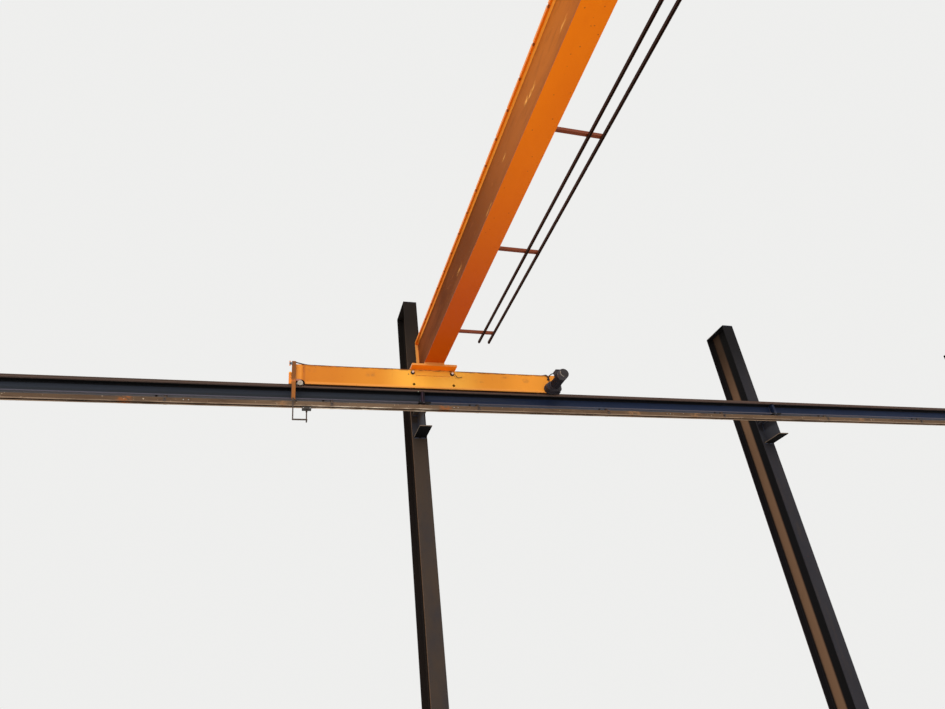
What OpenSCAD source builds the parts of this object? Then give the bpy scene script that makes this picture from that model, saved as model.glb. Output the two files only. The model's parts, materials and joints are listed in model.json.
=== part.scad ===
// Overhead bridge crane: a box girder bridge on two end carriages, running on two
// runways of wide-flange beams that corbels carry on steel columns.
// X runs along the runways, Y along the bridge, Z up. The origin is on the floor,
// midway between the runways and midway along them.

/* [Runway] */
// Distance between two columns of one row
bay_length = 6000; // [4000:100:8000]
// Number of bays along the runway
bay_count = 3; // [2:1:6]
// Distance between the centre lines of the two rails
span = 16000; // [10000:100:20000]
// Height of the rail's running face above the floor
rail_top_z = 6250; // [4500:10:7500]
// Width of the square bar that is the rail
rail_w = 60; // [40:1:80]
// Height of the rail
rail_h = 60; // [40:1:80]
// Height of the runway beam's section
beam_h = 200; // [160:1:400]
// Width of the runway beam's flanges
beam_w = 200; // [140:1:300]
// Thickness of the runway beam's flanges
beam_flange = 15; // [8:0.5:30]
// Thickness of the runway beam's web
beam_web = 9; // [5:0.5:20]
// Length of beam that runs past the last column's centre line
beam_overrun = 100; // [60:5:400]
// Gap where two lengths of beam meet over a column
beam_gap = 6; // [2:1:20]
// Thickness of the stiffeners at the beam's ends
stiffener = 12; // [6:1:25]
// Height of the end stop above the rail
stop_rise = 240; // [200:5:400]
// Thickness of the end stop's plate
stop_plate = 15; // [8:1:30]
// Length of the end stop's gusset along the beam
stop_gusset = 180; // [80:5:300]
// Distance from the beam flange's edge to the stiffener's edge
rib_inset = 5; // [1:1:30]
// Distance from the beam's end to its stiffener
rib_setback = 2; // [0:1:40]

/* [Columns] */
// Width of the column's flanges, along the runway
column_w = 210; // [160:5:280]
// Depth of the column's section, along the bridge
column_d = 530; // [200:5:620]
// Thickness of the column's flanges
column_flange = 17; // [8:0.5:40]
// Thickness of the column's web
column_web = 11; // [6:0.5:25]
// Distance from the rail's centre line to the face of the column
column_offset = 285; // [280:5:600]
// Height of the column's top above the floor
column_top_z = 8000; // [7800:10:9500]
// Thickness of the plate on top of the column
cap_plate = 15; // [8:1:40]
// Width of the column's base plate, along the runway
base_w = 440; // [420:5:700]
// Depth of the column's base plate, along the bridge
base_d = 680; // [660:5:900]
// Thickness of the column's base plate
base_plate = 25; // [12:1:60]
// Distance between the base plate's bolts, along the runway
base_bolt_x = 340; // [300:5:360]
// Distance between the base plate's bolts, along the bridge
base_bolt_y = 540; // [480:5:580]
// Radius of the base plate's bolt holes
base_hole_r = 14; // [8:0.5:20]
// Height of the corbel
corbel_h = 364; // [360:2:600]
// Width of the corbel's flanges
corbel_w = 175; // [120:5:230]
// Length that the corbel's web and top flange reach past the rail's centre line
corbel_tip = 40; // [20:1:42]
// Length that the corbel's bottom flange reaches past the rail's centre line
corbel_toe = 110; // [60:5:150]
// Thickness of the corbel's flanges
corbel_flange = 14; // [8:0.5:18]
// Thickness of the corbel's web
corbel_web = 10; // [6:0.5:25]

/* [Conductor line] */
// Width of the housing that holds the live rails
housing_w = 90; // [50:1:110]
// Height of the housing
housing_h = 60; // [40:1:90]
// Thickness of the housing's walls
housing_wall = 4; // [2:0.5:8]
// Width of the slot along the underside of the housing
housing_slot = 40; // [20:1:70]
// Gap between the beam and the housing
housing_drop = 52; // [15:1:80]
// Distance from the rail's centre line to the housing's centre line
housing_offset = 95; // [90:1:98]
// Distance between the hangers
hanger_pitch = 2070; // [1000:10:3000]
// Place of the middle hanger along the runway
hanger_mid_x = -140; // [-500:10:500]
// Width of a hanger, along the runway
hanger_w = 40; // [20:1:80]
// Thickness of a hanger's strap
hanger_strap = 4; // [2:0.5:8]
// Depth of a hanger's foot, along the bridge
hanger_foot = 30; // [10:1:40]
// Distance from the beam flange's edge to a hanger's foot
hanger_foot_inset = 5; // [0:1:20]
// Length that the line stops short of each end of the beam
line_inset = 150; // [50:10:600]

/* [Bridge] */
// Place of the bridge along the runway at rest
bridge_x = -2837; // [-4000:1:4000]
// Width of the girder's flanges
girder_w = 290; // [200:5:500]
// Height of the girder
girder_h = 600; // [400:5:1000]
// Thickness of the girder's bottom flange
girder_bottom = 12; // [6:0.5:30]
// Thickness of the girder's top flange
girder_top = 10; // [6:0.5:30]
// Thickness of the girder's two webs
girder_web = 6; // [4:0.5:16]
// Distance from the flange's edge to the face of the web
girder_lip = 42; // [40:1:60]
// Length of girder that runs past the rail's centre line
girder_overrun = 230; // [180:5:260]
// Thickness of the plates that close the girder's ends
girder_end = 12; // [6:0.5:25]
// Height of the notched strip on the girder's top edge
strip_h = 26; // [15:1:60]
// Thickness of the notched strip
strip_t = 8; // [4:0.5:12]
// Distance between the strip's notches
notch_pitch = 376; // [200:1:600]
// Length of each notch
notch_w = 22; // [10:1:60]
// Depth of each notch
notch_d = 16; // [6:1:24]

/* [End carriages] */
// Length of the end carriage
carriage_l = 3850; // [3000:10:5000]
// Width of the end carriage
carriage_w = 250; // [240:1:320]
// Height of the end carriage
carriage_h = 300; // [260:1:400]
// Depth that the carriage's side plates reach below the rail's running face
carriage_skirt = 40; // [10:1:45]
// Thickness of the carriage's plates
carriage_plate = 8; // [5:0.5:15]
// Gap between the rail's running face and the carriage's floor plate
carriage_clear = 12; // [5:1:30]
// Length of each wheel pocket, open at the bottom, from the carriage's end
pocket_l = 300; // [290:5:500]
// Diameter of the wheels
wheel_d = 160; // [125:1:200]
// Width of the wheels
wheel_w = 80; // [60:1:120]
// Diameter of the wheels' axles
axle_d = 50; // [30:1:80]
// Distance from the carriage's end to the wheel's axle
wheel_inset = 155; // [140:5:200]
// Diameter of the guide rollers
roller_d = 88; // [60:1:90]
// Height of the guide rollers
roller_h = 34; // [20:1:38]
// Diameter of the guide rollers' pins
roller_pin_d = 24; // [12:1:40]
// Gap between the guide rollers and the rail's side
roller_gap = 1; // [0.5:0.5:3]
// Distance from the rail's running face down to the guide rollers' top
roller_drop = 2; // [0:1:6]
// Distance from the carriage's end to the guide roller's axis
roller_inset = 62; // [50:1:120]
// Radius of the notch in the side plate round the guide roller
roller_notch = 66; // [50:1:80]
// Width of the plate that joins the carriage to the girder
head_w = 662; // [560:2:900]
// Thickness of the plate that joins the carriage to the girder
head_plate = 30; // [15:1:50]
// Length that this plate overhangs the carriage towards midspan
head_inner = 133; // [60:1:200]
// Length that this plate overhangs the carriage towards the column
head_outer = 50; // [20:1:110]
// Thickness of the seat plate under the girder
seat_plate = 25; // [10:1:40]
// Distance between the two bolts on the carriage's face
face_bolt_x = 585; // [400:5:640]
// Distance from the carriage's top to the upper bolts
face_bolt_drop = 45; // [30:1:80]
// Distance from the carriage's top to the lower holes
face_hole_drop = 240; // [150:1:250]
// Radius of the lower holes
face_hole_r = 15; // [8:0.5:20]
// Diameter of the buffers
buffer_d = 80; // [50:1:120]
// Length of the buffers
buffer_l = 80; // [40:1:140]
// Height of the buffers' centre line above the rail
buffer_rise = 160; // [110:1:190]

/* [Drive] */
// Length of the gear case along the runway
gear_l = 250; // [200:5:320]
// Height of the gear case
gear_h = 180; // [150:5:240]
// Depth of the gear case, along the bridge
gear_d = 120; // [80:5:200]
// Distance that the gear case reaches past the carriage's end
gear_reach = 25; // [0:1:60]
// Height of the motor's axis above the rail
motor_rise = 20; // [0:1:60]
// Distance from the carriage's end to the motor's axis
motor_inset = 105; // [90:1:160]
// Diameter of the motor
motor_d = 150; // [100:1:200]
// Length of the motor
motor_l = 390; // [250:5:500]
// Length of the motor's fan cover
fan_l = 85; // [40:1:120]
// Diameter of the fan cover
fan_d = 156; // [100:1:210]
// Width of the motor's terminal box
terminal_w = 120; // [60:1:120]
// Length of the terminal box, along the motor
terminal_l = 105; // [60:1:115]
// Distance from the gear case to the terminal box
terminal_start = 185; // [120:1:190]
// Distance from the motor's axis to the terminal box's middle, towards the girder
terminal_shift = 15; // [0:1:60]
// Height of the terminal box above the motor's round side
terminal_rise = 42; // [20:1:60]

/* [Current collector] */
// Width of the post on the carriage's end
post_w = 54; // [30:1:80]
// Thickness of the post
post_t = 10; // [5:1:20]
// Height of the post's top above the rail
post_rise = 286; // [250:1:400]
// Depth of the post's foot below the rail
post_drop = 300; // [280:1:360]
// Gap between the carriage's face and the post
post_gap = 30; // [28:1:60]
// Width and thickness of the square bar of the collector arm
arm_d = 16; // [10:1:30]
// Width of the arm's bend, along the runway
arm_w = 180; // [140:5:300]
// Depth of the arm's bend below the rail
arm_drop = 600; // [450:5:800]
// Length of the collector under the housing
collector_l = 120; // [80:5:240]
// Width of the collector
collector_w = 56; // [30:1:80]
// Height of the collector
collector_h = 42; // [20:1:80]
// Gap between the collector and the housing
collector_gap = 6; // [5:1:20]
// Width of the striker beside the post
striker_w = 38; // [20:1:60]
// Height of the striker
striker_h = 190; // [100:5:240]
// Depth of the striker's foot below the rail
striker_drop = 80; // [20:5:120]
// Height above the rail of the lug that holds the post
lug_rise = 90; // [20:5:140]
// Thickness of the lug
lug_t = 10; // [5:1:20]

/* [Cable rails] */
// Distance from the girder's centre line to the inner cable rail
cable_rail_x = 775; // [600:5:1000]
// Distance between the two cable rails
cable_rail_pitch = 156; // [100:1:250]
// Width and height of a cable rail
cable_rail_w = 30; // [26:1:60]
// Thickness of a cable rail's walls
cable_rail_wall = 3; // [2:0.5:6]
// Width of the slot along the underside of a cable rail
cable_rail_slot = 14; // [8:1:24]
// Depth of the cable rails' top below the girder's top
cable_rail_drop = 90; // [80:1:250]
// Distance between the arms that carry the cable rails
arm_pitch = 1920; // [1000:10:2500]
// Width and height of an arm
arm_w_bar = 40; // [25:1:60]
// Thickness of an arm's two legs
arm_t = 5; // [3:0.5:10]
// Length of cable rail past the last arm
rail_tail = 220; // [60:5:400]

/* [Cables] */
// Diameter of the cables on the carriage
cable_d = 16; // [8:1:24]
// Distance from the carriage's front face to the cables on its top
cable_inset = 30; // [20:1:80]

/* [Hoist] */
// Place of the hoist along the bridge
hoist_y = -2500; // [-5500:10:5500]
// Diameter of the hoist trolley's wheels
trolley_wheel_d = 100; // [70:1:140]
// Width of the hoist trolley's wheels
trolley_wheel_w = 28; // [20:1:30]
// Distance between the axles of the hoist trolley
trolley_base = 560; // [400:5:900]
// Length of the hoist trolley's side plates
trolley_l = 760; // [700:5:1100]
// Thickness of the side plates
trolley_plate = 12; // [6:1:25]
// Gap between the girder's flange and the side plates
trolley_gap = 6; // [5:1:12]
// Gap between the girder and the cross plates below it
cross_gap = 30; // [10:1:60]
// Diameter of the trolley wheels' stub axles
stub_d = 40; // [20:1:60]
// Length of a stub axle between its side plate and its wheel
stub_l = 6; // [2:1:8]
// Depth of the side plates below the girder
trolley_depth = 330; // [320:5:450]
// Diameter of the rope drum
drum_d = 220; // [150:1:260]
// Length of the rope drum
drum_l = 640; // [450:5:660]
// Diameter of the drum's shaft
drum_shaft_d = 60; // [30:1:100]
// Depth of the drum's axis below the girder
drum_drop = 200; // [170:5:260]
// Diameter of the hoist's motor
hoist_motor_d = 240; // [160:1:260]
// Length of the hoist's motor
hoist_motor_l = 320; // [200:5:500]
// Length of the hoist's gear case
hoist_gear_l = 180; // [100:5:300]
// Diameter of the hoist's gear case
hoist_gear_d = 260; // [160:1:300]
// Diameter of the ropes
rope_d = 10; // [6:0.5:16]
// Distance between the ropes, along the bridge
rope_y = 60; // [40:2:120]
// Length of rope between the drum and the hook block
rope_l = 500; // [300:10:1500]
// Height of the hook block
block_h = 300; // [200:5:400]
// Width of the hook block past the ropes, along the runway
block_rim_x = 25; // [10:1:60]
// Width of the hook block past the ropes, along the bridge
block_rim_y = 20; // [10:1:60]
// Length of the shank between the block and the hook's bend
shank_l = 60; // [20:1:120]
// Diameter of the hook's bar
hook_d = 44; // [30:1:60]
// Radius of the hook's bend, to the middle of the bar
hook_r = 62; // [50:1:90]

/* [Hidden] */
$fn = 48;

// Size of a bent bar's round corners beside its own diameter
knuckle = 1.1;
// Gap between a piece and what it sits on or turns in
seat_gap = 0.3;

runway_l = bay_count * bay_length;
beam_l = runway_l + 2 * beam_overrun;
wall_y = span / 2;
beam_top_z = rail_top_z - rail_h;
beam_bottom_z = beam_top_z - beam_h;
column_face_y = wall_y + column_offset;
stop_x = beam_l / 2 - stop_gusset - stop_plate;
housing_top_z = beam_bottom_z - housing_drop;
housing_bottom_z = housing_top_z - housing_h;
housing_y = wall_y - housing_offset;
line_l = beam_l - 2 * line_inset;
hanger_half = floor((line_l / 2 - abs(hanger_mid_x) - hanger_w / 2) / hanger_pitch);

carriage_bottom_z = rail_top_z - carriage_skirt;
carriage_top_z = carriage_bottom_z + carriage_h;
carriage_end = carriage_l / 2;
seat_z = carriage_top_z + head_plate;
girder_z = seat_z + seat_plate;
girder_top_z = girder_z + girder_h;
girder_l = span + 2 * girder_overrun;
web_x = girder_w / 2 - girder_lip;
wheel_x = carriage_end - wheel_inset;
roller_x = carriage_end - roller_inset;
roller_y = rail_w / 2 + roller_d / 2 + roller_gap;
axle_z = rail_top_z + wheel_d / 2 + seat_gap;
motor_x = carriage_end - motor_inset;
motor_z = rail_top_z + motor_rise;
post_y = wall_y - carriage_w / 2 - post_gap - post_t / 2;
post_x = -carriage_end - post_w / 2;
cable_rail_z = girder_top_z - cable_rail_drop;
arm_half = floor((girder_l / 2 - girder_end - arm_w_bar) / arm_pitch);
trolley_side_x = girder_w / 2 + trolley_gap;
trolley_bottom_z = girder_z - trolley_depth;
drum_z = girder_z - drum_drop;
rope_x = drum_d + rope_d + 2 * seat_gap;
block_top_z = drum_z - rope_l;
block_bottom_z = block_top_z - block_h;

// Repeats its children on the wall side (1) or on the far side (-1)
module side(s) {
    if (s > 0) children();
    else mirror([0, 1, 0]) children();
}

// Places its children on the bridge
module on_bridge() {
    translate([bridge_x, 0, 0]) children();
}

// Box from its lowest corner to its highest
module block(low, high) {
    translate(low) cube(high - low);
}

// Straight round bar between two points
module bar(from, to, d) {
    run = to - from;
    reach = norm(run);
    translate(from)
        rotate([0, acos(run[2] / reach), atan2(run[1], run[0])])
            cylinder(d = d, h = reach);
}

// Round bar along a list of points, with round corners
module bent_bar(points, d) {
    for (i = [1 : len(points) - 1]) bar(points[i - 1], points[i], d);
    for (i = [1 : 1 : len(points) - 2]) translate(points[i]) sphere(d = d * knuckle);
}

// Wide-flange section, with its web upright
module h_section(w, h, flange, web) {
    translate([-w / 2, -h / 2]) square([w, flange]);
    translate([-w / 2, h / 2 - flange]) square([w, flange]);
    translate([-web / 2, -h / 2]) square([web, h]);
}

function column_x(i) = (i - 1) * bay_length - runway_l / 2;

// Column: a rolled section on a drilled base plate, closed by a cap plate
module column(i, s) {
    middle_y = column_face_y + column_d / 2;
    color("#2a2d38") side(s) translate([column_x(i), middle_y, 0])
        difference() {
            union() {
                linear_extrude(column_top_z - cap_plate)
                    h_section(column_w, column_d, column_flange, column_web);
                translate([-base_w / 2, -base_d / 2, 0]) cube([base_w, base_d, base_plate]);
                translate([-column_w / 2, -column_d / 2, column_top_z - cap_plate])
                    cube([column_w, column_d, cap_plate]);
            }
            for (x = [-1, 1], y = [-1, 1])
                translate([x * base_bolt_x / 2, y * base_bolt_y / 2, -1])
                    cylinder(r = base_hole_r, h = base_plate + 2);
        }
}

// Corbel: an I-shaped stub of plates under the beam, its bottom flange longer than the rest
module corbel() {
    reach = column_offset + corbel_tip;
    toe = column_offset + corbel_toe;
    translate([0, column_face_y, beam_bottom_z]) {
        translate([-corbel_w / 2, -reach, -corbel_flange])
            cube([corbel_w, reach, corbel_flange]);
        translate([-corbel_w / 2, -toe, -corbel_h])
            cube([corbel_w, toe, corbel_flange]);
        translate([-corbel_web / 2, -reach, corbel_flange / 2 - corbel_h])
            cube([corbel_web, reach, corbel_h - corbel_flange]);
    }
}

module corbels(s) {
    color("#2a2d38") side(s)
        for (i = [1 : bay_count + 1]) translate([column_x(i), 0, 0]) corbel();
}

// One length of runway beam, with stiffeners at both ends
module beam_length(x0, x1) {
    rib = [stiffener, beam_w - 2 * rib_inset, beam_h - 2 * beam_flange];
    translate([x0, wall_y, beam_bottom_z + beam_h / 2]) rotate([90, 0, 90])
        linear_extrude(x1 - x0) h_section(beam_w, beam_h, beam_flange, beam_web);
    for (x = [x0 + rib_setback, x1 - rib_setback - stiffener])
        translate([x, wall_y - rib[1] / 2, beam_bottom_z + beam_flange]) cube(rib);
}

module runway_beam(s) {
    color("#27364e") side(s)
        for (i = [1 : bay_count]) {
            first = (i == 1) ? -beam_l / 2 : column_x(i) + beam_gap / 2;
            last = (i == bay_count) ? beam_l / 2 : column_x(i + 1) - beam_gap / 2;
            beam_length(first, last);
        }
}

module rail(s) {
    color("#6a625c") side(s)
        block([-stop_x, wall_y - rail_w / 2, beam_top_z], [stop_x, wall_y + rail_w / 2, rail_top_z]);
}

// End stop: an upright plate with two gussets behind it
module end_stop() {
    top = stop_rise + rail_h;
    translate([stop_x, wall_y, beam_top_z]) {
        translate([0, -beam_w / 2, 0]) cube([stop_plate, beam_w, top]);
        for (y = [-beam_w / 3, beam_w / 3])
            translate([stop_plate, y + stiffener / 2, 0]) rotate([90, 0, 0])
                linear_extrude(stiffener) polygon([
                    [0, 0], [stop_gusset, 0], [stop_gusset, stop_gusset / 3], [0, top]
                ]);
    }
}

module end_stops(s) {
    color("#d97a1c") side(s) {
        end_stop();
        mirror([1, 0, 0]) end_stop();
    }
}

// Conductor housing: a box section with a slot along its underside
module conductor_line() {
    color("#82705c")
        translate([-line_l / 2, housing_y, housing_bottom_z + housing_h / 2])
            rotate([90, 0, 90]) linear_extrude(line_l)
                slotted_box(housing_w, housing_h, housing_wall, housing_slot);
}

module slotted_box(w, h, wall, slot) {
    difference() {
        square([w, h], center = true);
        square([w - 2 * wall, h - 2 * wall], center = true);
        translate([-slot / 2, -h / 2 - 1]) square([slot, wall + 2]);
    }
}

// Hanger: a strap round the top and sides of the housing on a post under the beam
module conductor_hanger() {
    out = hanger_strap + seat_gap;
    low = housing_y - housing_w / 2;
    high = housing_y + housing_w / 2;
    foot_y = wall_y - beam_w / 2 + hanger_foot_inset;
    translate([-hanger_w / 2, 0, 0]) {
        block([0, low - out, housing_top_z + seat_gap], [hanger_w, high + out, housing_top_z + out]);
        for (y = [low - out, high + seat_gap])
            block([0, y, housing_bottom_z], [hanger_w, y + hanger_strap, housing_top_z + out]);
        block([0, foot_y, housing_top_z + out], [hanger_w, foot_y + hanger_foot, beam_bottom_z]);
    }
}

module conductor_hangers() {
    color("#5c5148")
        for (i = [-hanger_half : hanger_half])
            translate([hanger_mid_x + i * hanger_pitch, 0, 0]) conductor_hanger();
}

module girder_plate(x0, x1, z0, z1) {
    inner_l = girder_l / 2 - girder_end;
    color("#e07818") on_bridge() block([x0, -inner_l, z0], [x1, inner_l, z1]);
}

module girder_bottom_flange() {
    girder_plate(-girder_w / 2, girder_w / 2, girder_z, girder_z + girder_bottom);
}

module girder_top_flange() {
    girder_plate(-girder_w / 2, girder_w / 2, girder_top_z - girder_top, girder_top_z);
}

module girder_web_left() {
    girder_plate(-web_x, -web_x + girder_web, girder_z + girder_bottom, girder_top_z - girder_top);
}

module girder_web_right() {
    girder_plate(web_x - girder_web, web_x, girder_z + girder_bottom, girder_top_z - girder_top);
}

module girder_end_plates() {
    color("#e07818") on_bridge()
        for (s = [1, -1]) side(s)
            block(
                [-girder_w / 2, girder_l / 2 - girder_end, girder_z],
                [girder_w / 2, girder_l / 2, girder_top_z]
            );
}

// Strip on the top flange's left edge, notched at a regular pitch
module girder_edge_strip() {
    inner_l = girder_l / 2 - girder_end;
    half = floor((inner_l - notch_w) / notch_pitch);
    edge = -girder_w / 2;
    color("#e88a2a") on_bridge() difference() {
        block([edge, -inner_l, girder_top_z], [edge + strip_t, inner_l, girder_top_z + strip_h]);
        for (i = [-half : half])
            translate([edge - 1, i * notch_pitch - notch_w / 2, girder_top_z + strip_h - notch_d])
                cube([strip_t + 2, notch_w, notch_d + 1]);
    }
}

// Plate on top of the carriage, with the girder's seat plate on it
module head_plate(s) {
    inner = wall_y - carriage_w / 2 - head_inner;
    outer = wall_y + carriage_w / 2 + head_outer;
    color("#e88424") on_bridge() side(s) {
        block([-head_w / 2, inner, carriage_top_z], [head_w / 2, outer, seat_z]);
        block([-girder_w / 2, inner, seat_z], [girder_w / 2, outer, girder_z]);
    }
}

// End carriage: a box of plates that straddles the rail, with no floor over the wheels
// and with notches at the guide rollers
module end_carriage(s) {
    half_w = carriage_w / 2;
    inner_w = half_w - carriage_plate;
    floor_z = carriage_skirt + carriage_clear;
    room_l = carriage_end - carriage_plate;
    room_top = carriage_h - carriage_plate;
    color("#f09a34") on_bridge() side(s) translate([0, wall_y, carriage_bottom_z])
        difference() {
            block([-carriage_end, -half_w, 0], [carriage_end, half_w, carriage_h]);
            block([-carriage_end - 1, -inner_w, -1], [carriage_end + 1, inner_w, floor_z]);
            block([-room_l, -inner_w, floor_z + carriage_plate], [room_l, inner_w, room_top]);
            for (x = [-1, 1]) {
                end_pocket(x);
                translate([x * roller_x, 0, 0]) rotate([90, 0, 0])
                    cylinder(r = roller_notch, h = carriage_w + 2, center = true);
                translate([x * wheel_x, 0, axle_z - carriage_bottom_z]) rotate([90, 0, 0])
                    cylinder(d = axle_d + 2 * seat_gap, h = carriage_w + 2, center = true);
                translate([x * face_bolt_x / 2, 0, carriage_h - face_hole_drop]) rotate([90, 0, 0])
                    cylinder(r = face_hole_r, h = carriage_w + 2, center = true);
            }
        }
}

// Opening in the carriage's floor plate for a wheel
module end_pocket(x) {
    inner_w = carriage_w / 2 - carriage_plate;
    pocket_w = pocket_l - carriage_plate;
    translate([x * (carriage_end - carriage_plate - pocket_w / 2), 0, carriage_skirt])
        block([-pocket_w / 2, -inner_w, 0], [pocket_w / 2, inner_w, carriage_h / 2]);
}

// Wheel on its axle, which ends flush with the carriage's side plates
module wheels(s) {
    color("#4c4a48") on_bridge() side(s)
        for (x = [-wheel_x, wheel_x])
            translate([x, wall_y, axle_z]) rotate([90, 0, 0]) {
                cylinder(d = wheel_d, h = wheel_w, center = true);
                cylinder(d = axle_d, h = carriage_w, center = true);
            }
}

// Guide rollers on both sides of the rail, on pins from the pocket's ceiling
module guide_rollers() {
    roller_z = rail_top_z - roller_drop - roller_h;
    ceiling = carriage_top_z - carriage_plate;
    color("#c4c2bc") on_bridge()
        for (s = [1, -1]) side(s)
            for (x = [-roller_x, roller_x], y = [-roller_y, roller_y])
                translate([x, wall_y + y, roller_z]) {
                    cylinder(d = roller_d, h = roller_h);
                    cylinder(d = roller_pin_d, h = ceiling - roller_z);
                }
}

// Round buffers on the carriages' ends
module buffers() {
    color("#1d1c1c") on_bridge()
        for (s = [1, -1]) side(s)
            for (x = [0, 180])
                translate([0, wall_y, rail_top_z + buffer_rise]) rotate([0, 0, x])
                    translate([carriage_end, 0, 0]) rotate([0, 90, 0])
                        cylinder(d = buffer_d, h = buffer_l);
}

// Gear case on the carriage's inner face, round at one end
module gear_cases() {
    face_y = wall_y - carriage_w / 2;
    right = carriage_end + gear_reach;
    left = right - gear_l;
    color("#3a3637") on_bridge()
        for (s = [1, -1]) side(s) translate([0, face_y, motor_z]) {
            translate([left + gear_h / 2, 0, 0]) rotate([90, 0, 0]) cylinder(d = gear_h, h = gear_d);
            block([left + gear_h / 2, -gear_d, -gear_h / 2], [right, 0, gear_h / 2]);
        }
}

// Motor on the gear case, pointing to midspan, with a fan cover and a terminal box
module drive_motors() {
    start_y = wall_y - carriage_w / 2 - gear_d;
    box_end = terminal_start + terminal_l;
    color("#343133") on_bridge()
        for (s = [1, -1]) side(s) translate([motor_x, start_y, motor_z]) {
            rotate([90, 0, 0]) cylinder(d = motor_d, h = motor_l - fan_l);
            translate([0, -motor_l + fan_l, 0]) rotate([90, 0, 0]) cylinder(d = fan_d, h = fan_l);
            block(
                [-terminal_shift - terminal_w / 2, -box_end, motor_d / 4],
                [terminal_w / 2 - terminal_shift, -terminal_start, motor_d / 2 + terminal_rise]
            );
        }
}

// Flat post on the carriage's end, with the lug that holds it and the striker beside it
module collector_post() {
    back_y = post_y + post_t / 2;
    lug_y = wall_y - carriage_w / 4;
    lug_z = rail_top_z + lug_rise;
    striker_z = rail_top_z - striker_drop;
    color("#b4682c") on_bridge() {
        block(
            [post_x - post_w / 2, post_y - post_t / 2, rail_top_z - post_drop],
            [post_x + post_w / 2, back_y, rail_top_z + post_rise]
        );
        block([-carriage_end - post_w, back_y, lug_z], [-carriage_end, lug_y, lug_z + lug_t]);
        block(
            [-carriage_end - post_w - striker_w, post_y - post_t / 2, striker_z],
            [-carriage_end - post_w, back_y, striker_z + striker_h]
        );
    }
}

// Square bar that reaches from the post's foot under the housing to the collector
module collector_arm() {
    half = arm_d / 2;
    top = rail_top_z - post_drop;
    low = rail_top_z - arm_drop;
    lift = housing_bottom_z - collector_gap - collector_h;
    right = post_x + arm_w;
    color("#4a4440") on_bridge() {
        block([post_x - half, post_y - half, low], [post_x + half, post_y + half, top]);
        block([post_x - half, post_y - half, low], [right + half, post_y + half, low + arm_d]);
        block([right - half, post_y - half, low], [right + half, housing_y + half, low + arm_d]);
        block([right - half, housing_y - half, low], [right + half, housing_y + half, lift]);
    }
}

module collector() {
    top = housing_bottom_z - collector_gap;
    middle = post_x + arm_w;
    color("#33302e") on_bridge() block(
        [middle - collector_l / 2, housing_y - collector_w / 2, top - collector_h],
        [middle + collector_l / 2, housing_y + collector_w / 2, top]
    );
}

// Two slotted rails along the bridge, on the girder's right
module cable_rails() {
    half = arm_half * arm_pitch + rail_tail;
    color("#2e2622") on_bridge()
        for (x = [cable_rail_x, cable_rail_x + cable_rail_pitch])
            translate([x, half, cable_rail_z - cable_rail_w / 2]) rotate([90, 0, 0])
                linear_extrude(2 * half)
                    slotted_box(cable_rail_w, cable_rail_w, cable_rail_wall, cable_rail_slot);
}

// Arms from the girder's right web over the cable rails
module cable_rail_arms() {
    side_y = arm_w_bar / 2;
    tip = cable_rail_x + cable_rail_pitch + cable_rail_w;
    color("#a0481c") on_bridge()
        for (i = [-arm_half : arm_half])
            translate([0, i * arm_pitch, cable_rail_z]) {
                block([web_x, -side_y, 0], [tip, side_y, arm_t]);
                block([web_x, -side_y, arm_t], [tip, arm_t - side_y, arm_w_bar]);
            }
}

// Cables along the carriage's top, and from its face to the motor
module carriage_cables() {
    front_y = wall_y - carriage_w / 2;
    lie_y = front_y + cable_inset;
    lift = cable_d * knuckle / 2 + seat_gap;
    lie_z = carriage_top_z + lift;
    gland = [motor_x - 22, front_y - lift, carriage_top_z - 70];
    box_x = motor_x - terminal_shift + 20;
    box_y = front_y - gear_d - terminal_start;
    box_z = motor_z + motor_d / 2 + 15;
    color("#161514") on_bridge() {
        bent_bar([
            [-head_w / 2, lie_y, lie_z],
            [-carriage_end + 180, lie_y, lie_z],
            [-carriage_end + 10, lie_y, lie_z + 26],
            [-carriage_end - post_w / 2, post_y + post_t / 2, lie_z + 12]
        ], cable_d);
        bent_bar([
            [head_w / 2, lie_y, lie_z],
            [gland[0] - 90, lie_y, lie_z],
            [gland[0] - 30, front_y - lift, lie_z],
            gland,
            [gland[0] + 4, gland[1] - 50, gland[2] + 32],
            [gland[0] + 8, gland[1] - 150, gland[2] + 12],
            [box_x, box_y + 30, box_z + 5],
            [box_x, box_y, box_z]
        ], cable_d);
    }
}

// Hoist trolley: two side plates under the girder, joined by cross plates
module trolley_frame() {
    inner = trolley_side_x;
    color("#e07818") on_bridge() translate([0, hoist_y, 0]) {
        for (s = [0, 180]) rotate([0, 0, s])
            block(
                [inner, -trolley_l / 2, trolley_bottom_z],
                [inner + trolley_plate, trolley_l / 2, girder_z + girder_bottom + trolley_wheel_d]
            );
        for (s = [-1, 1])
            translate([0, s * (trolley_l / 2 - trolley_plate / 2), 0])
                block(
                    [-inner, -trolley_plate / 2, trolley_bottom_z],
                    [inner, trolley_plate / 2, girder_z - cross_gap]
                );
    }
}

// Wheels on the girder's bottom flange, on stub axles from the side plates
module trolley_wheels() {
    wheel_z = girder_z + girder_bottom + trolley_wheel_d / 2 + seat_gap;
    color("#4c4a48") on_bridge() translate([0, hoist_y, wheel_z])
        for (s = [0, 180], y = [-trolley_base / 2, trolley_base / 2])
            rotate([0, 0, s]) translate([trolley_side_x, y, 0]) rotate([0, -90, 0]) {
                cylinder(d = stub_d, h = stub_l);
                translate([0, 0, stub_l]) cylinder(d = trolley_wheel_d, h = trolley_wheel_w);
            }
}

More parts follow.
